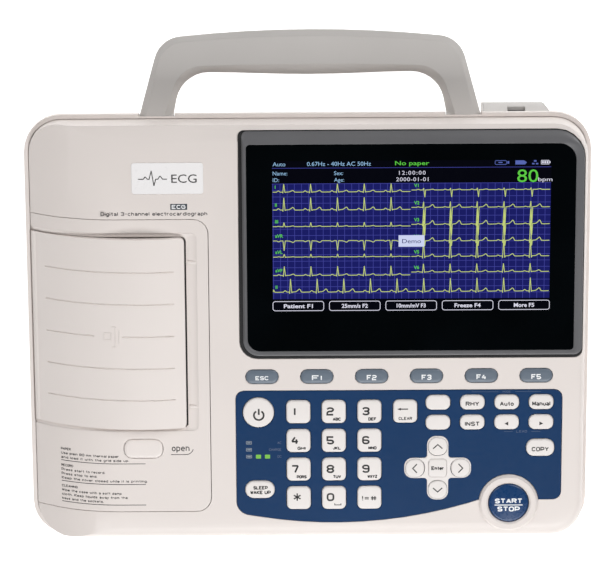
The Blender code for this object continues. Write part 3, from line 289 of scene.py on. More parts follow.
def outline_of(xs, ws, radii, steps=8):
    """A rounded rectangle from the lower left corner round, with one radius or four."""
    radii = radii if isinstance(radii, tuple) else (radii,) * 4
    (x0, x1), (w0, w1) = xs, ws
    corners = ((x0, w0, 1, 1), (x1, w0, -1, 1), (x1, w1, -1, -1), (x0, w1, 1, -1))
    points = []
    for turn, ((x, w, sx, sw), radius) in enumerate(zip(corners, radii)):
        for step in range(steps + 1):
            angle = math.radians(180 + 90 * turn + 90 * step / steps)
            points.append((x + radius * (sx + math.cos(angle)), w + radius * (sw + math.sin(angle))))
    return points


def grown(span, by):
    return (span[0] - by, span[1] + by)


def arc(centre, radius, start, end, steps=10):
    angles = [math.radians(start + (end - start) * i / steps) for i in range(steps + 1)]
    return [(centre[0] + radius * math.cos(a), centre[1] + radius * math.sin(a)) for a in angles]


def add_stack(mesh, rings, closed=False):
    """Skins closed rings of equal length; capped at both ends, or joined end to end when closed."""
    rows = [[mesh.verts.new(point) for point in ring] for ring in rings]
    pairs = list(zip(rows, rows[1:]))
    if closed:
        pairs.append((rows[-1], rows[0]))
    count = len(rows[0])
    for lower, upper in pairs:
        for i in range(count):
            j = (i + 1) % count
            mesh.faces.new((lower[i], lower[j], upper[j], upper[i]))
    if not closed:
        mesh.faces.new(rows[0][::-1])
        mesh.faces.new(rows[-1])


def place(mesh, name, look, body, drape=flat, smooth=30):
    """Turns a bmesh drawn in panel millimetres into a piece that rides on a body."""
    for vertex in mesh.verts:
        x, w, h = vertex.co
        vertex.co = PANEL @ (Vector((x, w, h + drape(x, w))) * MM)
    bmesh.ops.recalc_face_normals(mesh, faces=mesh.faces)
    data = bpy.data.meshes.new(name)
    mesh.to_mesh(data)
    mesh.free()
    data.materials.append(LOOKS[look])
    data.shade_smooth()
    data.set_sharp_from_angle(angle=math.radians(smooth))
    piece = bpy.data.objects.new(name, data)
    bpy.context.scene.collection.objects.link(piece)
    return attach(piece, body)


class Ink:
    """Thin closed marks at one height of the panel frame, gathered into one piece."""

    def __init__(self, height=0.0, rise=INK_RISE):
        self.mesh = bmesh.new()
        self.low = height - INK_SINK
        self.high = height + rise

    def patch(self, outline, lift=0.0):
        high = self.high + lift
        add_stack(self.mesh, [[(x, w, self.low) for x, w in outline], [(x, w, high) for x, w in outline]])

    def bar(self, xs, ws, lift=0.0):
        self.patch([(xs[0], ws[0]), (xs[1], ws[0]), (xs[1], ws[1]), (xs[0], ws[1])], lift)

    def line(self, points, width):
        """A strip of even width along a line, open or closed. Corners are mitred, very sharp ones overlapped."""
        spots = [Vector(point) for point in points]
        closed = (spots[0] - spots[-1]).length < 1e-6
        for i in range(1, len(spots) - 1):
            if not closed and (spots[i] - spots[i - 1]).angle(spots[i + 1] - spots[i]) > SHARP_TURN:
                self.line(spots[:i + 1], width)
                self.line(spots[i:], width)
                return
        if closed:
            spots.pop()
        rings = []
        for i, spot in enumerate(spots):
            before = (spot - spots[i - 1]).normalized() if i > 0 or closed else None
            following = spots[(i + 1) % len(spots)]
            after = (following - spot).normalized() if i + 1 < len(spots) or closed else None
            along = ((before or after) + (after or before)).normalized()
            if along.length < 0.5:
                along = before
            side = Vector((-along.y, along.x))
            edge = after or before
            mitre = abs(side.dot(Vector((-edge.y, edge.x))))
            stretch = min(LONGEST_MITRE, 1 / max(0.35, mitre))
            half = side * width / 2 * stretch
            left, right = spot + half, spot - half
            rings.append([(left.x, left.y, self.low), (right.x, right.y, self.low),
                          (right.x, right.y, self.high), (left.x, left.y, self.high)])
        add_stack(self.mesh, rings, closed)

    def letters(self, words, centre, size, stroke, width=None, align="CENTER"):
        """Square-shouldered lettering drawn as strokes. size is its cap height and stroke its line width."""
        strokes, natural = word_strokes(words)
        tall = (size - stroke) / CAP_UNITS
        wide = (width - stroke) / natural if width and natural else tall
        starts = {"CENTER": -natural * wide / 2, "LEFT": stroke / 2, "RIGHT": -natural * wide - stroke / 2}
        left, foot = centre[0] + starts[align], centre[1] - size / 2 + stroke / 2
        for points in strokes:
            self.line([(left + p.x * wide, foot + p.y * tall) for p in points], stroke)

    def frame(self, xs, ws, radius, width):
        """A rounded outline of even width."""
        outer = outline_of(xs, ws, radius, 5)
        inner = outline_of(grown(xs, -width), grown(ws, -width), max(0.05, radius - width), 5)
        rings = [[(x, w, self.low) for x, w in outer], [(x, w, self.high) for x, w in outer],
                 [(x, w, self.high) for x, w in inner], [(x, w, self.low) for x, w in inner]]
        add_stack(self.mesh, rings, closed=True)

    def text(self, words, centre, size, bold=0.0, spacing=1.0, align="CENTER", width=None):
        """Lettering in the built-in typeface. size is its cap height; width squeezes or stretches it."""
        curve = bpy.data.curves.new("words", "FONT")
        curve.body = words
        curve.size = size / CAP_SHARE
        curve.space_character = spacing
        curve.offset = bold * size
        curve.resolution_u = 3
        holder = bpy.data.objects.new("words", curve)
        bpy.context.scene.collection.objects.link(holder)
        bpy.context.view_layer.update()
        shape = bpy.data.meshes.new_from_object(holder.evaluated_get(bpy.context.evaluated_depsgraph_get()))
        glyphs = bmesh.new()
        glyphs.from_mesh(shape)
        bmesh.ops.remove_doubles(glyphs, verts=glyphs.verts, dist=size * 0.002)
        xs = [v.co.x for v in glyphs.verts]
        natural = max(xs) - min(xs)
        stretch = width / natural if width else 1.0
        start = {"CENTER": -natural * stretch / 2, "LEFT": 0.0}[align]
        for vertex in glyphs.verts:
            x = centre[0] + start + (vertex.co.x - min(xs)) * stretch
            vertex.co = (x, centre[1] + vertex.co.y - size / 2, self.low)
        sides = bmesh.ops.extrude_face_region(glyphs, geom=glyphs.faces[:])
        for item in sides["geom"]:
            if isinstance(item, bmesh.types.BMVert):
                item.co.z = self.high
        carried = bpy.data.meshes.new("glyphs")
        glyphs.to_mesh(carried)
        self.mesh.from_mesh(carried)
        glyphs.free()
        bpy.data.meshes.remove(carried)
        bpy.data.meshes.remove(shape)
        bpy.data.objects.remove(holder)
        bpy.data.curves.remove(curve)

    def piece(self, name, look, body="base", drape=flat):
        return place(self.mesh, name, look, body, drape)


# ---------------------------------------------------------------- CAD nodes that stay

def finish_cad(node, look, bevel=0.0, angle=32.0):
    """Shades a CAD node smooth by angle, rounds its edges where bevel is given, and sets its look."""
    obj = NODES[node]
    data = obj.data
    for name in ("custom_normal", "sharp_edge", "sharp_face"):
        if name in data.attributes:
            data.attributes.remove(data.attributes[name])
    data.polygons.foreach_set("use_smooth", [True] * len(data.polygons))
    data.materials.clear()
    data.materials.append(LOOKS[look])
    weld = obj.modifiers.new("weld", "WELD")
    weld.merge_threshold = 0.002 * MM
    if bevel:
        round_edges = obj.modifiers.new("round", "BEVEL")
        round_edges.width = bevel * MM
        round_edges.segments = 3
        round_edges.limit_method = "ANGLE"
        round_edges.angle_limit = math.radians(angle)
        round_edges.harden_normals = True
    else:
        split = obj.modifiers.new("split", "EDGE_SPLIT")
        split.split_angle = math.radians(angle)


def finish_frame():
    looks = {
        "casing": ("bottom_shell", "top_shell", "printer_frame", "battery_cover"),
        "door": ("printer_cover",),
        "handle": ("port_housing",),
        "glass": ("screen_glass",),
        "field": ("keypad_plate",),
        "rubber": ("foot_strip_front", "foot_strip_rear", "platen_roller"),
        "steel": ("cover_hinge_pin", "motor_pinion", "paper_motor", "print_head"),
        "board": ("main_board", "keypad_board"),
        "dark": ("lcd_module", "battery_pack", "mains_inlet", "patient_socket"),
    }
    rounded = {"battery_cover": 0.3, "foot_strip_front": 0.6, "foot_strip_rear": 0.6,
               "print_head": 0.3, "screen_glass": 0.15, "battery_pack": 0.8, "lcd_module": 0.4}
    for look, nodes in looks.items():
        for node in nodes:
            finish_cad(node, look, rounded.get(node, 0.0))
    finish_cad("handle", "handle", 1.3, 22.0)


# ---------------------------------------------------------------- keys and their legends

def corner_radius(node):
    """The corner radius of a CAD key's plan, read from where its straight left side ends."""
    inverse = PANEL.inverted()
    points = [inverse @ vertex.co / MM for vertex in NODES[node].data.vertices]
    left = min(p.x for p in points)
    side = [p.y for p in points if p.x < left + 0.01]
    return max(p.y for p in points) - max(side)


def key_cap(node, look, edge=KEY_ROUND, drop=None):
    """A key with a rounded crown edge, or a domed one when drop is less than edge, in its CAD cap's place."""
    drop = drop or edge
    xs, ws, (foot, top) = panel_box(node)
    radius = corner_radius(node)
    mesh = bmesh.new()
    plan = outline_of(xs, ws, radius)
    rings = [[(x, w, foot) for x, w in plan]]
    for step in range(9):
        turn = math.radians(90 * step / 8)
        inset = edge * (1 - math.cos(turn))
        plan = outline_of(grown(xs, -inset), grown(ws, -inset), max(0.3, radius - inset))
        rings.append([(x, w, top - drop + drop * math.sin(turn)) for x, w in plan])
    add_stack(mesh, rings)
    cap = place(mesh, node + "_cap", look, node, smooth=50)
    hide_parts(node)


def ink_on(node):
    """Ink at a key's top face, with the key's centre."""
    xs, ws, (_, top) = panel_box(node)
    return Ink(top), middle(xs), middle(ws)


LETTERS = {"key_1": "", "key_2": "ABC", "key_3": "DEF", "key_4": "GHI", "key_5": "JKL", "key_6": "MNO",
           "key_7": "PQRS", "key_8": "TUV", "key_9": "WXYZ"}
DIGIT_STROKE = 0.98
SMALL_STROKE = 0.5
PILL_STROKE = 0.54
POWER_STROKE = 1.0
SLEEP_STROKE = 0.52
START_STROKE = 0.72
CHEVRON_STROKE = 0.62


def make_digit_keys():
    for node, small in LETTERS.items():
        key_cap(node, "key")
        ink, x, w = ink_on(node)
        ink.letters(node[-1], (x - 2.0, w + 0.4), 4.9, DIGIT_STROKE, width=4.3 if small else 1.2)
        if small:
            ink.letters(small, (x + 1.7, w - 4.2), 1.9, SMALL_STROKE, width=4.6 if len(small) < 4 else 5.6)
        ink.piece(node + "_legend", "black_ink", node)
    key_cap("key_0", "key")
    ink, x, w = ink_on("key_0")
    ink.letters("0", (x - 2.0, w + 0.6), 4.8, DIGIT_STROKE, width=4.3)
    ink.line([(x + 0.4, w - 3.2), (x + 0.4, w - 4.1), (x + 3.9, w - 4.1), (x + 3.9, w - 3.2)], 0.45)
    ink.piece("key_0_legend", "black_ink", "key_0")
    key_cap("key_star", "key")
    ink, x, w = ink_on("key_star")
    for turn in (0, 60, 120):
        dx, dw = 2.2 * math.sin(math.radians(turn)), 2.2 * math.cos(math.radians(turn))
        ink.line([(x - 0.9 - dx, w + 0.7 - dw), (x - 0.9 + dx, w + 0.7 + dw)], 0.75)
    ink.piece("key_star_legend", "black_ink", "key_star")
    key_cap("key_hash", "key")
    ink, x, w = ink_on("key_hash")
    ink.letters("!=#", (x, w - 0.2), 3.0, 0.5, width=8.2)
    ink.piece("key_hash_legend", "black_ink", "key_hash")
    key_cap("key_clear", "key")
    ink, x, w = ink_on("key_clear")
    ink.line([(x - 3.4, w + 1.5), (x + 1.6, w + 1.5)], 0.62)
    ink.patch([(x - 4.4, w + 1.5), (x - 2.5, w + 0.75), (x - 2.5, w + 2.25)])
    ink.letters("CLEAR", (x + 0.1, w - 4.0), 1.8, 0.38, width=7.6)
    ink.piece("key_clear_legend", "black_ink", "key_clear")


def make_pill_keys():
    words = {"key_rhythm": ("RHY", 7.6), "key_auto": ("Auto", 7.8), "key_manual": ("Manual", 10.2),
             "key_insert": ("INST", 8.3), "key_copy": ("COPY", 9.6)}
    for node, (word, width) in words.items():
        key_cap(node, "key")
        ink, x, w = ink_on(node)
        ink.letters(word, (x, w - 0.7), 2.6, PILL_STROKE, width=width)
        ink.piece(node + "_legend", "black_ink", node)
    for node in ("key_blank_upper", "key_blank_lower"):
        key_cap(node, "key")
    for node, side in (("key_page_left", -1), ("key_page_right", 1)):
        key_cap(node, "key")
        ink, x, w = ink_on(node)
        ink.patch([(x - side * 0.9, w - 1.8), (x + side * 1.2, w - 0.7), (x - side * 0.9, w + 0.4)])
        ink.piece(node + "_legend", "black_ink", node)


def make_function_keys():
    for node in ("key_esc", "key_f1", "key_f2", "key_f3", "key_f4", "key_f5"):
        key_cap(node, "grey_key", 2.4, 0.9)
        ink, x, w = ink_on(node)
        word = node[4:].upper()
        if word == "ESC":
            ink.letters(word, (x, w - 0.5), 2.4, 0.52, width=7.4)
        else:
            ink.letters(word, (x, w - 0.5), 3.1, 0.66, width=5.6)
        ink.piece(node + "_legend", "white_ink", node)


def make_special_keys():
    key_cap("key_power", "key")
    ink, x, w = ink_on("key_power")
    ink.line(arc((x + 0.2, w - 1.4), 2.75, 122, 418, 26), POWER_STROKE)
    ink.line([(x + 0.2, w - 1.1), (x + 0.2, w + 2.4)], POWER_STROKE)
    ink.piece("key_power_legend", "black_ink", "key_power")
    key_cap("key_sleep", "key")
    ink, x, w = ink_on("key_sleep")
    ink.letters("SLEEP", (x + 0.3, w + 1.3), 2.1, SLEEP_STROKE, width=8.2)
    ink.letters("WAKE UP", (x + 0.3, w - 1.5), 2.1, SLEEP_STROKE, width=11.6)
    ink.piece("key_sleep_legend", "black_ink", "key_sleep")
    key_cap("key_start_stop", "blue_key", 1.3)
    ink, x, w = ink_on("key_start_stop")
    ink.letters("START", (x, w + 1.4), 3.0, START_STROKE, width=15.6)
    ink.bar((x - 7.9, x + 7.9), (w - 1.3, w - 0.75))
    ink.letters("STOP", (x, w - 3.4), 3.0, START_STROKE, width=12.8)
    ink.piece("key_start_stop_legend", "white_ink", "key_start_stop")
    key_cap("open_button", "door", 1.9, 0.95)


def make_arrow_keys():
    turns = {"key_up": 0, "key_left": 90, "key_down": 180, "key_right": 270}
    for node, turn in turns.items():
        key_cap(node, "key", 0.8)
        ink, x, w = ink_on(node)
        c, s = math.cos(math.radians(turn)), math.sin(math.radians(turn))
        chevron = [(-2.6, -1.2), (0.0, 1.2), (2.6, -1.2)]
        ink.line([(x + a * c - b * s, w + a * s + b * c) for a, b in chevron], CHEVRON_STROKE)
        ink.piece(node + "_legend", "black_ink", node)
    key_cap("key_enter", "key", 0.8)
    ink, x, w = ink_on("key_enter")
    ink.letters("Enter", (x, w + 0.1), 2.2, 0.55, width=7.2)
    ink.piece("key_enter_legend", "black_ink", "key_enter")


# ---------------------------------------------------------------- keypad field

CROSS_BORDER = 0.65
CROSS_FILLET = 2.35
CROSS_THICK = 0.45
CROSS_FLAT = 1.2
CROSS_CHAMFER = 0.2
HOLE_PLAY = 0.12
INNER_PLAY = 0.4


def cross_outline(grow):
    """The white cross under the arrow keys: four round-ended arms with filleted inner corners."""
    xs, _, _ = panel_box("key_left")
    _, top, _ = panel_box("key_up")
    arm, _, _ = panel_box("key_up")
    ex, ew, _ = panel_box("key_enter")
    x, w = middle(ex), middle(ew)
    half = (arm[1] - arm[0]) / 2 + grow
    reach = max(top[1] - w, x - xs[0]) + grow
    fillet = CROSS_FILLET - grow
    round_end = half - CROSS_FLAT
    quarter = arc((reach - round_end, half - round_end), round_end, 0, 90, 8)
    quarter += arc((half + fillet, half + fillet), fillet, 270, 180, 6)
    quarter += arc((half - round_end, reach - round_end), round_end, 0, 90, 8)
    points = []
    for turn in range(4):
        c, s = math.cos(math.radians(90 * turn)), math.sin(math.radians(90 * turn))
        points += [(x + a * c - b * s, w + a * s + b * c) for a, b in quarter]
    return [p for i, p in enumerate(points) if (Vector(p) - Vector(points[i - 1])).length > 0.02]


def cut_with(piece, cutters):
    """Applies boolean cuts made from bmesh prisms given in panel millimetres, and removes the cutters."""
    made = []
    for outline, low, high in cutters:
        mesh = bmesh.new()
        add_stack(mesh, [[PANEL @ (Vector((x, w, h)) * MM) for x, w in outline] for h in (low, high)])
        bmesh.ops.recalc_face_normals(mesh, faces=mesh.faces)
        data = bpy.data.meshes.new("cutter")
        mesh.to_mesh(data)
        mesh.free()
        cutter = bpy.data.objects.new("cutter", data)
        bpy.context.scene.collection.objects.link(cutter)
        change = piece.modifiers.new("cut", "BOOLEAN")
        change.operation = "DIFFERENCE"
        change.object = cutter
        made.append(cutter)
    bpy.context.view_layer.update()
    shape = bpy.data.meshes.new_from_object(piece.evaluated_get(bpy.context.evaluated_depsgraph_get()))
    piece.modifiers.clear()
    piece.data = shape
    shape.shade_smooth()
    shape.set_sharp_from_angle(angle=math.radians(30))
    for cutter in made:
        bpy.data.objects.remove(cutter)


def make_cross_pad():
    _, _, (_, plate_top) = panel_box("keypad_plate")
    mesh = bmesh.new()
    rings = []
    for grow, h in ((CROSS_BORDER, plate_top - INK_SINK),
                    (CROSS_BORDER, plate_top + CROSS_THICK - CROSS_CHAMFER),
                    (CROSS_BORDER - CROSS_CHAMFER, plate_top + CROSS_THICK)):
        rings.append([(x, w, h) for x, w in cross_outline(grow)])
    add_stack(mesh, rings)
    pad = place(mesh, "arrow_cross", "key", "base")
    cutters = []
    inner_sides = {"key_up": (0, 0, 1, 0), "key_down": (0, 0, 0, 1), "key_left": (0, 1, 0, 0),
                   "key_right": (1, 0, 0, 0), "key_enter": (0, 0, 0, 0)}
    for node, sides in inner_sides.items():
        xs, ws, _ = panel_box(node)
        left, right, front, rear = (INNER_PLAY if side else HOLE_PLAY for side in sides)
        plan = outline_of((xs[0] - left, xs[1] + right), (ws[0] - front, ws[1] + rear),
                          corner_radius(node) + HOLE_PLAY, 5)
        cutters.append((plan, plate_top - 1, plate_top + 2))
    cut_with(pad, cutters)


LED_X = -33.9
LED_ROWS = (-92.8, -96.9, -101.0)
GREEN_LEDS = (-28.6, -23.5)


def make_field_marks():
    _, _, (_, top) = panel_box("keypad_plate")
    icons = Ink(top)
    for w in LED_ROWS:
        icons.frame((LED_X - 1.6, LED_X + 1.6), (w - 0.95, w + 0.95), 0.3, 0.28)
        icons.bar((LED_X - 1.0, LED_X + 1.0), (w - 0.3, w + 0.3))
    icons.piece("status_icons", "icon")
    lamps = Ink(top, 0.12)
    for x in GREEN_LEDS:
        lamps.patch(outline_of((x - 1.45, x + 1.45), (LED_ROWS[2] - 1.15, LED_ROWS[2] + 1.15), 0.35, 3))
    lamps.piece("status_lamps", "led")
    faint = Ink(top)
    for word, w in zip(("AC", "CHARGE", "DC"), LED_ROWS):
        faint.letters(word, (-15.6, w), 1.5, 0.25, align="RIGHT")
    faint.line([(91.3, -63.4), (106.2, -63.4)], 0.22)
    faint.line([(115.6, -63.4), (130.1, -63.4)], 0.22)
    faint.letters("MODE", (110.9, -63.4), 1.1, 0.2, width=4.6)
    faint.line([(109.7, -86.9), (114.5, -86.9)], 0.22)
    faint.line([(124.9, -86.9), (130.1, -86.9)], 0.22)
    faint.letters("LEAD", (119.6, -86.9), 1.4, 0.22, width=6.0)
    faint.piece("field_marks", "faint_ink")


# ---------------------------------------------------------------- screen surround

# BEZEL_SHADOW draws the trim in from the CAD bezel at the left, right, front and rear; in the band it leaves, a
# black ring a little below the skin is painted shade for the shadow gap round the frame.
BEZEL_SHADOW = (1.9, 0.3, 1.5, 0.35)
TRIM_RADII = (9.0, 4.3, 15.3, 2.8)
GLASS_RADII = (7.1, 2.1, 9.6, 2.1)
PAINTED_GAP_SHADE_RADII = (10.0, 4.5, 15.5, 3.0)
GLASS_PLAY = 0.15
PAINTED_GAP_SHADE_TOP = -0.35
PAINTED_GAP_SHADE_FOOT = -1.5
BEZEL_PROFILE = ((0.0, -1.4), (0.0, 0.0), (0.06, 0.42), (0.16, 0.62), (0.3, 0.7), (0.5, 0.68), (0.62, 0.55),
                 (0.72, 0.42), (0.97, 0.16), (1.0, 0.1), (1.0, -1.4))


def make_bezel():
    """The grey frame: a rounded outer lip, a flat band and a slope down to the glass, with a black ring of painted
    shade round it for the shadow gap.
    """
    xs, ws, _ = panel_box("screen_bezel")
    gx, gw, _ = panel_box("screen_glass")
    left, right, front, rear = BEZEL_SHADOW
    outer_x, outer_w = (xs[0] + left, xs[1] - right), (ws[0] + front, ws[1] - rear)
    outer = outline_of(outer_x, outer_w, TRIM_RADII, 10)
    inner = outline_of(grown(gx, GLASS_PLAY), grown(gw, GLASS_PLAY), GLASS_RADII, 10)
    mesh = bmesh.new()
    rings = []
    for share, h in BEZEL_PROFILE:
        ring = [(a[0] + (b[0] - a[0]) * share, a[1] + (b[1] - a[1]) * share) for a, b in zip(outer, inner)]
        rings.append([(x, w, h) for x, w in ring])
    add_stack(mesh, rings, closed=True)
    trim = place(mesh, "bezel_trim", "bezel", "base", drape=skin_height, smooth=18)
    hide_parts("screen_bezel")
    # A black ring between the CAD bezel's outline and the trim: painted shade for the shadow gap round the frame,
    # widest at the left and front.
    wide = outline_of(xs, ws, PAINTED_GAP_SHADE_RADII, 10)
    mesh = bmesh.new()
    section = ((wide, PAINTED_GAP_SHADE_FOOT), (wide, PAINTED_GAP_SHADE_TOP), (outer, PAINTED_GAP_SHADE_TOP), (outer, PAINTED_GAP_SHADE_FOOT))
    rings = [[(x, w, h) for x, w in ring] for ring, h in section]
    add_stack(mesh, rings, closed=True)
    place(mesh, "bezel_painted_gap_shade", "painted_gap_shade", "base", drape=skin_height)


# ---------------------------------------------------------------- screen picture

LCD_X = (-19.9, 134.2)
LCD_W = (-15.5, 70.4)
GRID_W = (-8.7, 57.6)
GRID_PITCH = (3.955, 3.69)
BEAT_PITCH = 14.8
MODE_ROW = 69.0
NAME_ROW = 63.5
AGE_ROW = 60.0
# lead: (baseline, P, R, S, T) in millimetres on the screen
LEFT_LEADS = {"I": (52.8, 0.7, 4.9, 0.3, 0.9), "II": (42.6, 0.8, 7.0, 0.4, 1.5),
              "III": (33.1, 0.2, 2.3, 0.2, 0.4),
              "aVR": (24.9, -0.5, -5.6, 0.0, -0.9), "aVL": (15.6, 0.2, 1.7, 0.2, 0.2),
              "aVF": (5.0, 0.5, 5.2, 0.3, 0.8)}
RIGHT_LEADS = {"V1": (53.6, 0.4, 1.0, 4.1, 0.4), "V2": (43.7, 0.3, 3.2, 9.5, 1.6),
               "V3": (34.0, 0.4, 8.5, 6.5, 2.1), "V4": (24.5, 0.5, 11.5, 3.0, 1.8),
               "V5": (15.6, 0.5, 9.6, 0.9, 1.3), "V6": (6.6, 0.4, 4.7, 0.3, 0.9)}
RHYTHM = (-4.6, 0.8, 7.6, 0.4, 1.7)
LEFT_X = (-19.4, 56.6)
RIGHT_X = (57.2, 133.6)
FIRST_LEFT = -13.3
FIRST_RIGHT = 63.9
FIRST_RHYTHM = -9.9
TRACE_STROKE = 0.4
GRID_HALF = 0.14
PICTURE_EDGE = 0.2
# heights of the picture's layers above the glass
GROUND_LAYER = 0.01
FIELD_LAYER = 0.02
GRID_LAYER = 0.03
TRACE_LAYER = 0.045
WORD_LAYER = 0.055
BOX_LAYER = 0.075
BOX_WORD_LAYER = 0.095
LEAD_SIZE = 1.9
SOFT_KEY_PITCH = 31.4
SOFT_KEY_WIDTH = 28.6


def trace(xs, first, baseline, p, r, s, t):
    """One lead as a line: repeated P, QRS and T waves about its baseline."""
    shape = ((-0.27, 0.0), (-0.23, 0.75 * p), (-0.20, p), (-0.17, 0.6 * p), (-0.13, 0.0), (-0.045, 0.0),
             (-0.035, -0.12 * abs(r)), (0.0, r), (0.045, -s), (0.07, 0.0), (0.2, 0.12 * t), (0.27, 0.55 * t),
             (0.325, t), (0.36, 0.85 * t), (0.41, 0.0), (0.5, -0.06 * t))
    points = [(xs[0], baseline)]
    beat = math.floor((xs[0] - first) / BEAT_PITCH)
    while first + beat * BEAT_PITCH < xs[1] + BEAT_PITCH:
        for share, height in shape:
            x = first + (beat + share) * BEAT_PITCH
            if xs[0] < x < xs[1]:
                points.append((x, min(baseline + height, GRID_W[1] - 0.2)))
        beat += 1
    points.append((xs[1], baseline))
    return points


def make_picture():
    _, _, (_, glass) = panel_box("screen_glass")
    base = Ink(glass, GROUND_LAYER)
    base.bar(LCD_X, LCD_W)
    base.piece("picture_ground", "lcd_black")
    inside = (LCD_X[0] + PICTURE_EDGE, LCD_X[1] - PICTURE_EDGE)
    field = Ink(glass, FIELD_LAYER)
    field.bar(inside, GRID_W)
    field.bar(inside, (AGE_ROW + 6.2, AGE_ROW + 6.4))
    field.piece("picture_field", "lcd_navy")
    grid = Ink(glass, GRID_LAYER)
    columns = int((LCD_X[1] - LCD_X[0]) / GRID_PITCH[0])
    for i in range(columns + 1):
        x = LCD_X[0] + 0.6 + i * GRID_PITCH[0]
        grid.bar((x - GRID_HALF, x + GRID_HALF), GRID_W)
    rows = int((GRID_W[1] - GRID_W[0]) / GRID_PITCH[1])
    for i in range(rows + 1):
        w = GRID_W[1] - 0.15 - i * GRID_PITCH[1]
        grid.bar(inside, (w - GRID_HALF, w + GRID_HALF), lift=0.002)
    grid.bar(inside, (66.25, 66.5))
    grid.piece("picture_grid", "lcd_grid")
    make_traces(glass)
    make_screen_words(glass)
    make_screen_icons(glass)


def make_traces(glass):
    waves = Ink(glass, TRACE_LAYER)
    for values in LEFT_LEADS.values():
        waves.line(trace(LEFT_X, FIRST_LEFT, *values), TRACE_STROKE)
    for values in RIGHT_LEADS.values():
        waves.line(trace(RIGHT_X, FIRST_RIGHT, *values), TRACE_STROKE)
    waves.line(trace((LEFT_X[0], RIGHT_X[1]), FIRST_RHYTHM, *RHYTHM), TRACE_STROKE)
    waves.piece("picture_traces", "lcd_trace")


def make_screen_words(glass):
    green = Ink(glass, WORD_LAYER)
    for name, values in LEFT_LEADS.items():
        green.text(name, (-18.2, values[0] + 2.9), LEAD_SIZE, bold=0.03, align="LEFT")
    green.text("II", (-18.2, RHYTHM[0] + 2.9), LEAD_SIZE, bold=0.03, align="LEFT")
    for name, values in RIGHT_LEADS.items():
        green.text(name, (58.6, values[0] + 2.7), LEAD_SIZE, bold=0.03, align="LEFT")
    green.text("No paper", (57.5, MODE_ROW), 2.4, bold=0.012, width=18.8)
    green.text("80", (121.2, 61.6), 7.6, width=11.6)
    green.piece("picture_green_words", "lcd_green")
    cyan = Ink(glass, WORD_LAYER)
    cyan.text("Auto", (-19.3, MODE_ROW - 0.3), 2.4, align="LEFT", width=7.0)
    cyan.text("0.67Hz - 40Hz AC 50Hz", (-0.4, MODE_ROW - 0.2), 2.4, align="LEFT", width=35.2)
    for word, x, w in (("Name:", -19.3, NAME_ROW), ("ID:", -19.3, AGE_ROW - 0.3), ("Sex:", 14.5, NAME_ROW),
                       ("Age:", 14.5, AGE_ROW - 0.3)):
        cyan.text(word, (x, w), 2.3, align="LEFT")
    cyan.piece("picture_blue_words", "lcd_cyan")
    white = Ink(glass, WORD_LAYER)
    white.text("12:00:00", (57.6, NAME_ROW), 2.3, spacing=1.25, width=14.6)
    white.text("2000-01-01", (57.6, AGE_ROW - 0.2), 2.3, spacing=1.1, width=17.8)
    white.text("bpm", (130.9, 59.4), 2.3, width=7.8)
    words = ("Patient F1", "25mm/s F2", "10mm/mV F3", "Freeze F4", "More F5")
    for i, word in enumerate(words):
        x = LCD_X[0] + SOFT_KEY_PITCH * i
        white.frame((x, x + SOFT_KEY_WIDTH), (-15.6, -9.9), 1.5, 0.35)
        white.text(word, (x + SOFT_KEY_WIDTH / 2, -12.7), 2.3, bold=0.035, width=1.62 * len(word))
    white.piece("picture_white_words", "lcd_white")
    box = Ink(glass, BOX_LAYER)
    box.bar((50.1, 64.4), (21.2, 27.8))
    box.piece("picture_box", "lcd_box")
    demo = Ink(glass, BOX_WORD_LAYER)
    demo.text("Demo", (57.3, 24.5), 2.5, width=10.4)
    demo.piece("picture_box_word", "lcd_navy")


def make_screen_icons(glass):
    """Generic signs for the mains plug, the memory card and the network, and a battery gauge."""
    dim = Ink(glass, WORD_LAYER)
    dim.frame((103.0, 109.6), (67.7, 70.2), 0.8, 0.3)
    dim.bar((105.0, 107.2), (68.7, 69.3))
    dim.bar((109.9, 110.9), (68.3, 69.7))
    dim.patch([(114.3, 67.8), (119.6, 67.8), (120.6, 69.0), (119.0, 70.1), (114.3, 70.1)])
    dim.bar((125.6, 126.9), (67.8, 68.6))
    dim.bar((123.5, 124.8), (67.8, 68.6))
    dim.bar((124.5, 125.9), (69.3, 70.2))
    dim.piece("picture_signs", "lcd_icon")
    gauge = Ink(glass, WORD_LAYER)
    gauge.frame((128.4, 133.0), (67.8, 70.2), 0.4, 0.3)
    gauge.bar((133.1, 133.6), (68.5, 69.5))
    for i in range(3):
        gauge.bar((129.0 + 1.25 * i, 129.9 + 1.25 * i), (68.4, 69.6))
    gauge.piece("picture_gauge", "lcd_white")


# ---------------------------------------------------------------- marks on the casing and the printer

LABEL_RISE = 0.25
NOTES_LEFT = -140.4
NOTES_TOP = -98.1
NOTE_LINE = 2.5
NOTE_SIZE = 1.45
NOTE_STROKE = 0.27
NOTE_LETTER = 1.14
RULE_STEPS = 17
RULE_STEP = 3
RULE_WIDTH = 0.36


def make_label():
    plate = Ink(0.0, LABEL_RISE)
    plate.patch(outline_of((-97.2, -57.6), (52.1, 69.8), 1.6, 6))
    plate.piece("name_label", "label")
    mark = Ink(LABEL_RISE)
    pulse = [(-93.6, 60.6), (-90.6, 60.6), (-89.6, 62.0), (-88.4, 60.6), (-87.4, 60.6), (-86.2, 65.4),
             (-84.8, 56.8), (-83.8, 60.6), (-82.6, 60.6), (-81.4, 62.4), (-80.0, 60.6), (-77.6, 60.6)]
    mark.line(pulse, 0.5)
    mark.text("ECG", (-68.2, 61.0), 5.0, width=14.0)
    mark.piece("name_label_mark", "black_ink")
    badge = Ink(0.0)
    badge.bar((-76.0, -66.7), (43.0, 46.4))
    badge.piece("type_badge", "badge")
    words = Ink(0.03)
    words.letters("ECG", (-71.4, 44.7), 2.3, 0.48, width=7.6)
    words.piece("type_badge_word", "white_ink")
    line = Ink(0.0)
    line.letters("Digital 3-channel electrocardiograph", (-85.1, 40.8), 2.2, 0.42, width=59.0)
    line.piece("type_line", "grey_ink")


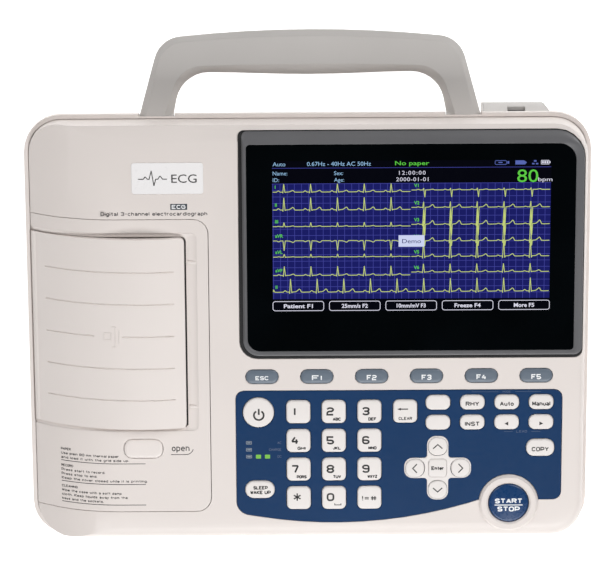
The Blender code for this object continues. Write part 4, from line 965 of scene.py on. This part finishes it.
def make_notes():
    """Three short blocks of plain user notes, each closed by a rule, and the word beside the open button."""
    blocks = (("PAPER", "Use plain 80 mm thermal paper", "and load it with the grid side up."),
              ("RECORD", "Press start to record.", "Press stop to end.",
               "Keep the cover closed while it is printing."),
              ("CLEANING", "Wipe the case with a soft damp", "cloth. Keep liquids away from the",
               "keys and the sockets."))
    ink = Ink(0.0)
    w = NOTES_TOP
    for block in blocks:
        for line in block:
            ink.letters(line, (NOTES_LEFT, w), NOTE_SIZE, NOTE_STROKE, align="LEFT",
                        width=NOTE_LETTER * len(line))
            w -= NOTE_LINE
        w -= 0.4
        ink.line([(NOTES_LEFT + RULE_STEP * i, w + 1.0) for i in range(RULE_STEPS)], RULE_WIDTH)
        w -= 1.9
    ink.piece("user_notes", "black_ink", drape=skin_height)
    word = Ink(0.0)
    word.letters("open", (-72.4, -95.7), 3.8, 0.52, width=10.0)
    tail = [(-77.8, -99.6), (-69.4, -99.6)] + arc((-69.4, -95.4), 4.2, 278, 345, 8)
    word.line(tail, RULE_WIDTH)
    word.piece("open_word", "black_ink")


SKIRT_STEPS = 24
SKIRT_INSET = 1.0
SKIRT_DEPTH = 1.2
SKIRT_HALF = 0.4
RECESS_STEPS = ((0.0, 0.03), (0.08, -0.14), (0.2, -0.36), (0.38, -0.6), (0.6, -0.81), (0.82, -0.93),
                (1.0, -0.97))
RECESS_LEFT = -154.0
RECESS_RIGHT = -62.0
RECESS_SPAN = (-85.6, 29.7)
RECESS_FOOT = -1.1
RECESS_SIDE = 4.4
RECESS_END = 2.2
RIB_ROWS = (12.6, -71.4)
RIB_X = (-66.9, -62.2)
RIB_PROFILE = ((-1.1, -1.05), (-0.9, -0.45), (-0.4, -0.1), (0.2, -0.02), (0.6, -0.2), (0.7, -1.05))
SIGN_RISE = 0.16
CONNECTOR_HALF = 2.7
CONNECTOR_DEPTH = 4.0
CONNECTOR_TOP = -0.4


def recess_path(right, span, radius):
    """Round the recess from its front left end to its rear left end, with even numbers of points."""
    xs = [RECESS_LEFT + (right - radius - RECESS_LEFT) * i / 14 for i in range(14)]
    path = [(x, span[0]) for x in xs]
    path += arc((right - radius, span[0] + radius), radius, 270, 360, 6)
    path += arc((right - radius, span[1] - radius), radius, 0, 90, 6)
    return path + [(x, span[1]) for x in reversed(xs)]


def make_recess_slope():
    """The hollowed slope that leads from the casing's skin down to the paper door."""
    outer = recess_path(RECESS_RIGHT, RECESS_SPAN, 3.0)
    inner = recess_path(RECESS_RIGHT - RECESS_SIDE, grown(RECESS_SPAN, -RECESS_END), 1.6)
    rings = []
    for a, b in zip(outer, inner):
        dx, dw = b[0] - a[0], b[1] - a[1]
        section = [(a[0] + dx * share, a[1] + dw * share, h) for share, h in RECESS_STEPS]
        rings.append(section + [(*b, RECESS_FOOT), (*a, RECESS_FOOT)])
    mesh = bmesh.new()
    add_stack(mesh, rings)
    place(mesh, "recess_slope", "casing", "base", drape=skin_height, smooth=40)


def make_door_skirt(xs, edges):
    """The thin walls that close the barrel of the paper door at its front and rear edges."""
    mesh = bmesh.new()
    for edge in edges:
        rings = []
        for i in range(SKIRT_STEPS + 1):
            x = xs[0] + (xs[1] - xs[0]) * i / SKIRT_STEPS
            top = door_height(x, edge) - SKIRT_INSET
            foot = min(top - 0.1, skin_height(x, edge) - SKIRT_DEPTH)
            low, high = edge - SKIRT_HALF, edge + SKIRT_HALF
            rings.append([(x, low, foot), (x, high, foot), (x, high, top), (x, low, top)])
        add_stack(mesh, rings)
    place(mesh, "door_skirt", "door", "printer_cover")


def make_printer_details():
    """Paper width ribs beside the door, and the raised sign in the middle of the door."""
    make_recess_slope()
    mesh = bmesh.new()
    for w in RIB_ROWS:
        add_stack(mesh, [[(x, w + away, h) for away, h in RIB_PROFILE] for x in RIB_X])
    place(mesh, "paper_ribs", "casing", "base", smooth=50)
    (_, door_right), (front, rear), _ = panel_box("printer_cover")
    # A dark rubber strip down in the paper slot beside the door: painted shade for the slot's dark inside, shaped
    # as a tear bar.
    bar = Ink(-2.0, 0.3)
    bar.bar((door_right + 0.15, door_right + 0.95), (front + 0.5, rear - 0.5))
    bar.piece("slot_shade_bar", "rubber")
    make_door_skirt((door_right - 2.6, door_right - 60.0), (front + 0.9, rear - 0.9))
    sign = Ink(0.0, SIGN_RISE)
    sign.frame((-114.4, -109.6), (-31.7, -26.9), 0.7, 0.7)
    sign.line([(-107.6, -35.2), (-107.6, -23.4)], 0.7)
    sign.line([(-105.6, -33.2), (-105.6, -25.4)], 0.6)
    sign.line([(-109.6, -35.0), (-107.6, -35.0)], 0.6)
    sign.line([(-109.6, -23.6), (-107.6, -23.6)], 0.6)
    sign.piece("door_sign", "door", "printer_cover", drape=door_height)


def make_port_insert():
    """The black connector that fills the slot in the port block, a little below its face."""
    points = [vertex.co / MM for vertex in NODES["port_housing"].data.vertices]
    slot = next(o for o in frame["record"]["physics"]["openings"] if o["name"] == "port_mouth")["box_m"]
    (x0, y0, z0), (x1, y1, z1) = [[v / MM for v in corner] for corner in slot]
    centre = Vector(((x0 + x1) / 2, (y0 + y1) / 2, (z0 + z1) / 2))
    corner = Vector((centre.x, max(p.y for p in points), max(p.z for p in points)))
    out = (corner - centre).normalized()
    up = Vector((0, -out.z, out.y))
    across = Vector(((x1 - x0) / 2, 0, 0))
    rings = []
    for away in (-CONNECTOR_DEPTH, CONNECTOR_TOP):
        ring = [centre + across * sx + up * su * CONNECTOR_HALF + out * away
                for sx, su in ((-1, -1), (1, -1), (1, 1), (-1, 1))]
        rings.append([PANEL.inverted() @ (p * MM) / MM for p in ring])
    mesh = bmesh.new()
    add_stack(mesh, rings)
    place(mesh, "port_connector", "dark", "base")


# ---------------------------------------------------------------- stage

FLOOR_REACH = 6.0
FLOOR_Z = -0.0002
FLOOR_GLOW = 0.6
SKY_TURN = (-0.3, 0.25)
SKY_LEVEL = (0.55, 1.0)
CAMERA_DISTANCE = 1.939
CAMERA_LEAN = math.radians(5.5)
CAMERA_ROLL = math.radians(-0.32)
CAMERA_X = -0.0024
CAMERA_SENSOR = 36.0
CAMERA_LENS = 206.6


def area_light(name, place_at, target, size, power):
    lamp = bpy.data.lights.new(name, "AREA")
    lamp.shape = "RECTANGLE"
    lamp.size, lamp.size_y = size
    lamp.energy = power
    obj = bpy.data.objects.new(name, lamp)
    bpy.context.scene.collection.objects.link(obj)
    obj.location = place_at
    obj.rotation_euler = (Vector(target) - Vector(place_at)).to_track_quat("-Z", "Y").to_euler()


def make_stage():
    mesh = bpy.data.meshes.new("floor")
    corners = [(sx * FLOOR_REACH, sy * FLOOR_REACH, 0) for sx, sy in ((-1, -1), (1, -1), (1, 1), (-1, 1))]
    mesh.from_pydata(corners, [], [(0, 1, 2, 3)])
    floor = bpy.data.objects.new("floor", mesh)
    bpy.context.scene.collection.objects.link(floor)
    floor.location.z = FLOOR_Z
    white = moulded("floor_white", (0.93, 0.93, 0.93), 0.8, edge=0, shift=0.004, depth=0.0, specular=0.0)
    shader = white.node_tree.nodes["Principled BSDF"]
    shader.inputs["Emission Color"].default_value = (1.0, 1.0, 1.0, 1.0)
    shader.inputs["Emission Strength"].default_value = FLOOR_GLOW
    mesh.materials.append(white)
    world = bpy.data.worlds.new("studio")
    world.use_nodes = True
    tree = world.node_tree
    # the sky is dim towards the front, where the panel mirrors it, and bright towards the rear
    direction = tree.nodes.new("ShaderNodeTexCoord")
    split = tree.nodes.new("ShaderNodeSeparateXYZ")
    level = tree.nodes.new("ShaderNodeMapRange")
    tree.links.new(direction.outputs["Generated"], split.inputs["Vector"])
    tree.links.new(split.outputs["Y"], level.inputs["Value"])
    level.inputs["From Min"].default_value = SKY_TURN[0]
    level.inputs["From Max"].default_value = SKY_TURN[1]
    level.inputs["To Min"].default_value = SKY_LEVEL[0]
    level.inputs["To Max"].default_value = SKY_LEVEL[1]
    tree.links.new(level.outputs["Result"], tree.nodes["Background"].inputs["Strength"])
    bpy.context.scene.world = world
    area_light("key_light", (1.0, 0.9, 1.25), (0.0, 0.0, 0.05), (1.0, 1.0), 17.0)
    area_light("left_light", (-1.1, 0.75, 1.2), (-0.05, 0.0, 0.05), (1.0, 1.0), 11.0)
    area_light("front_light", (0.1, -1.15, 0.75), (0.0, -0.05, 0.05), (1.0, 0.5), 14.0)
    bpy.context.scene.view_settings.view_transform = "Standard"


def make_camera():
    """Nearly overhead, 5.5 degrees to the rear of the vertical, with a long lens."""
    target = Vector((CAMERA_X, PANEL_Y * MM, PANEL_Z * MM))
    back = Vector((0, math.sin(CAMERA_LEAN), math.cos(CAMERA_LEAN)))
    up = Vector((0, math.cos(CAMERA_LEAN), -math.sin(CAMERA_LEAN)))
    turned = Matrix((up.cross(back), up, back)).transposed() @ Matrix.Rotation(CAMERA_ROLL, 3, "Z")
    camera = bpy.data.objects.new("camera", bpy.data.cameras.new("camera"))
    bpy.context.scene.collection.objects.link(camera)
    camera.location = target + back * CAMERA_DISTANCE
    camera.rotation_euler = turned.to_euler()
    camera.data.sensor_width = CAMERA_SENSOR
    camera.data.sensor_fit = "HORIZONTAL"
    camera.data.lens = CAMERA_LENS
    bpy.context.scene.camera = camera


finish_frame()
make_digit_keys()
make_pill_keys()
make_function_keys()
make_special_keys()
make_arrow_keys()
make_cross_pad()
make_field_marks()
make_bezel()
make_picture()
make_label()
make_notes()
make_printer_details()
make_port_insert()
make_stage()
make_camera()
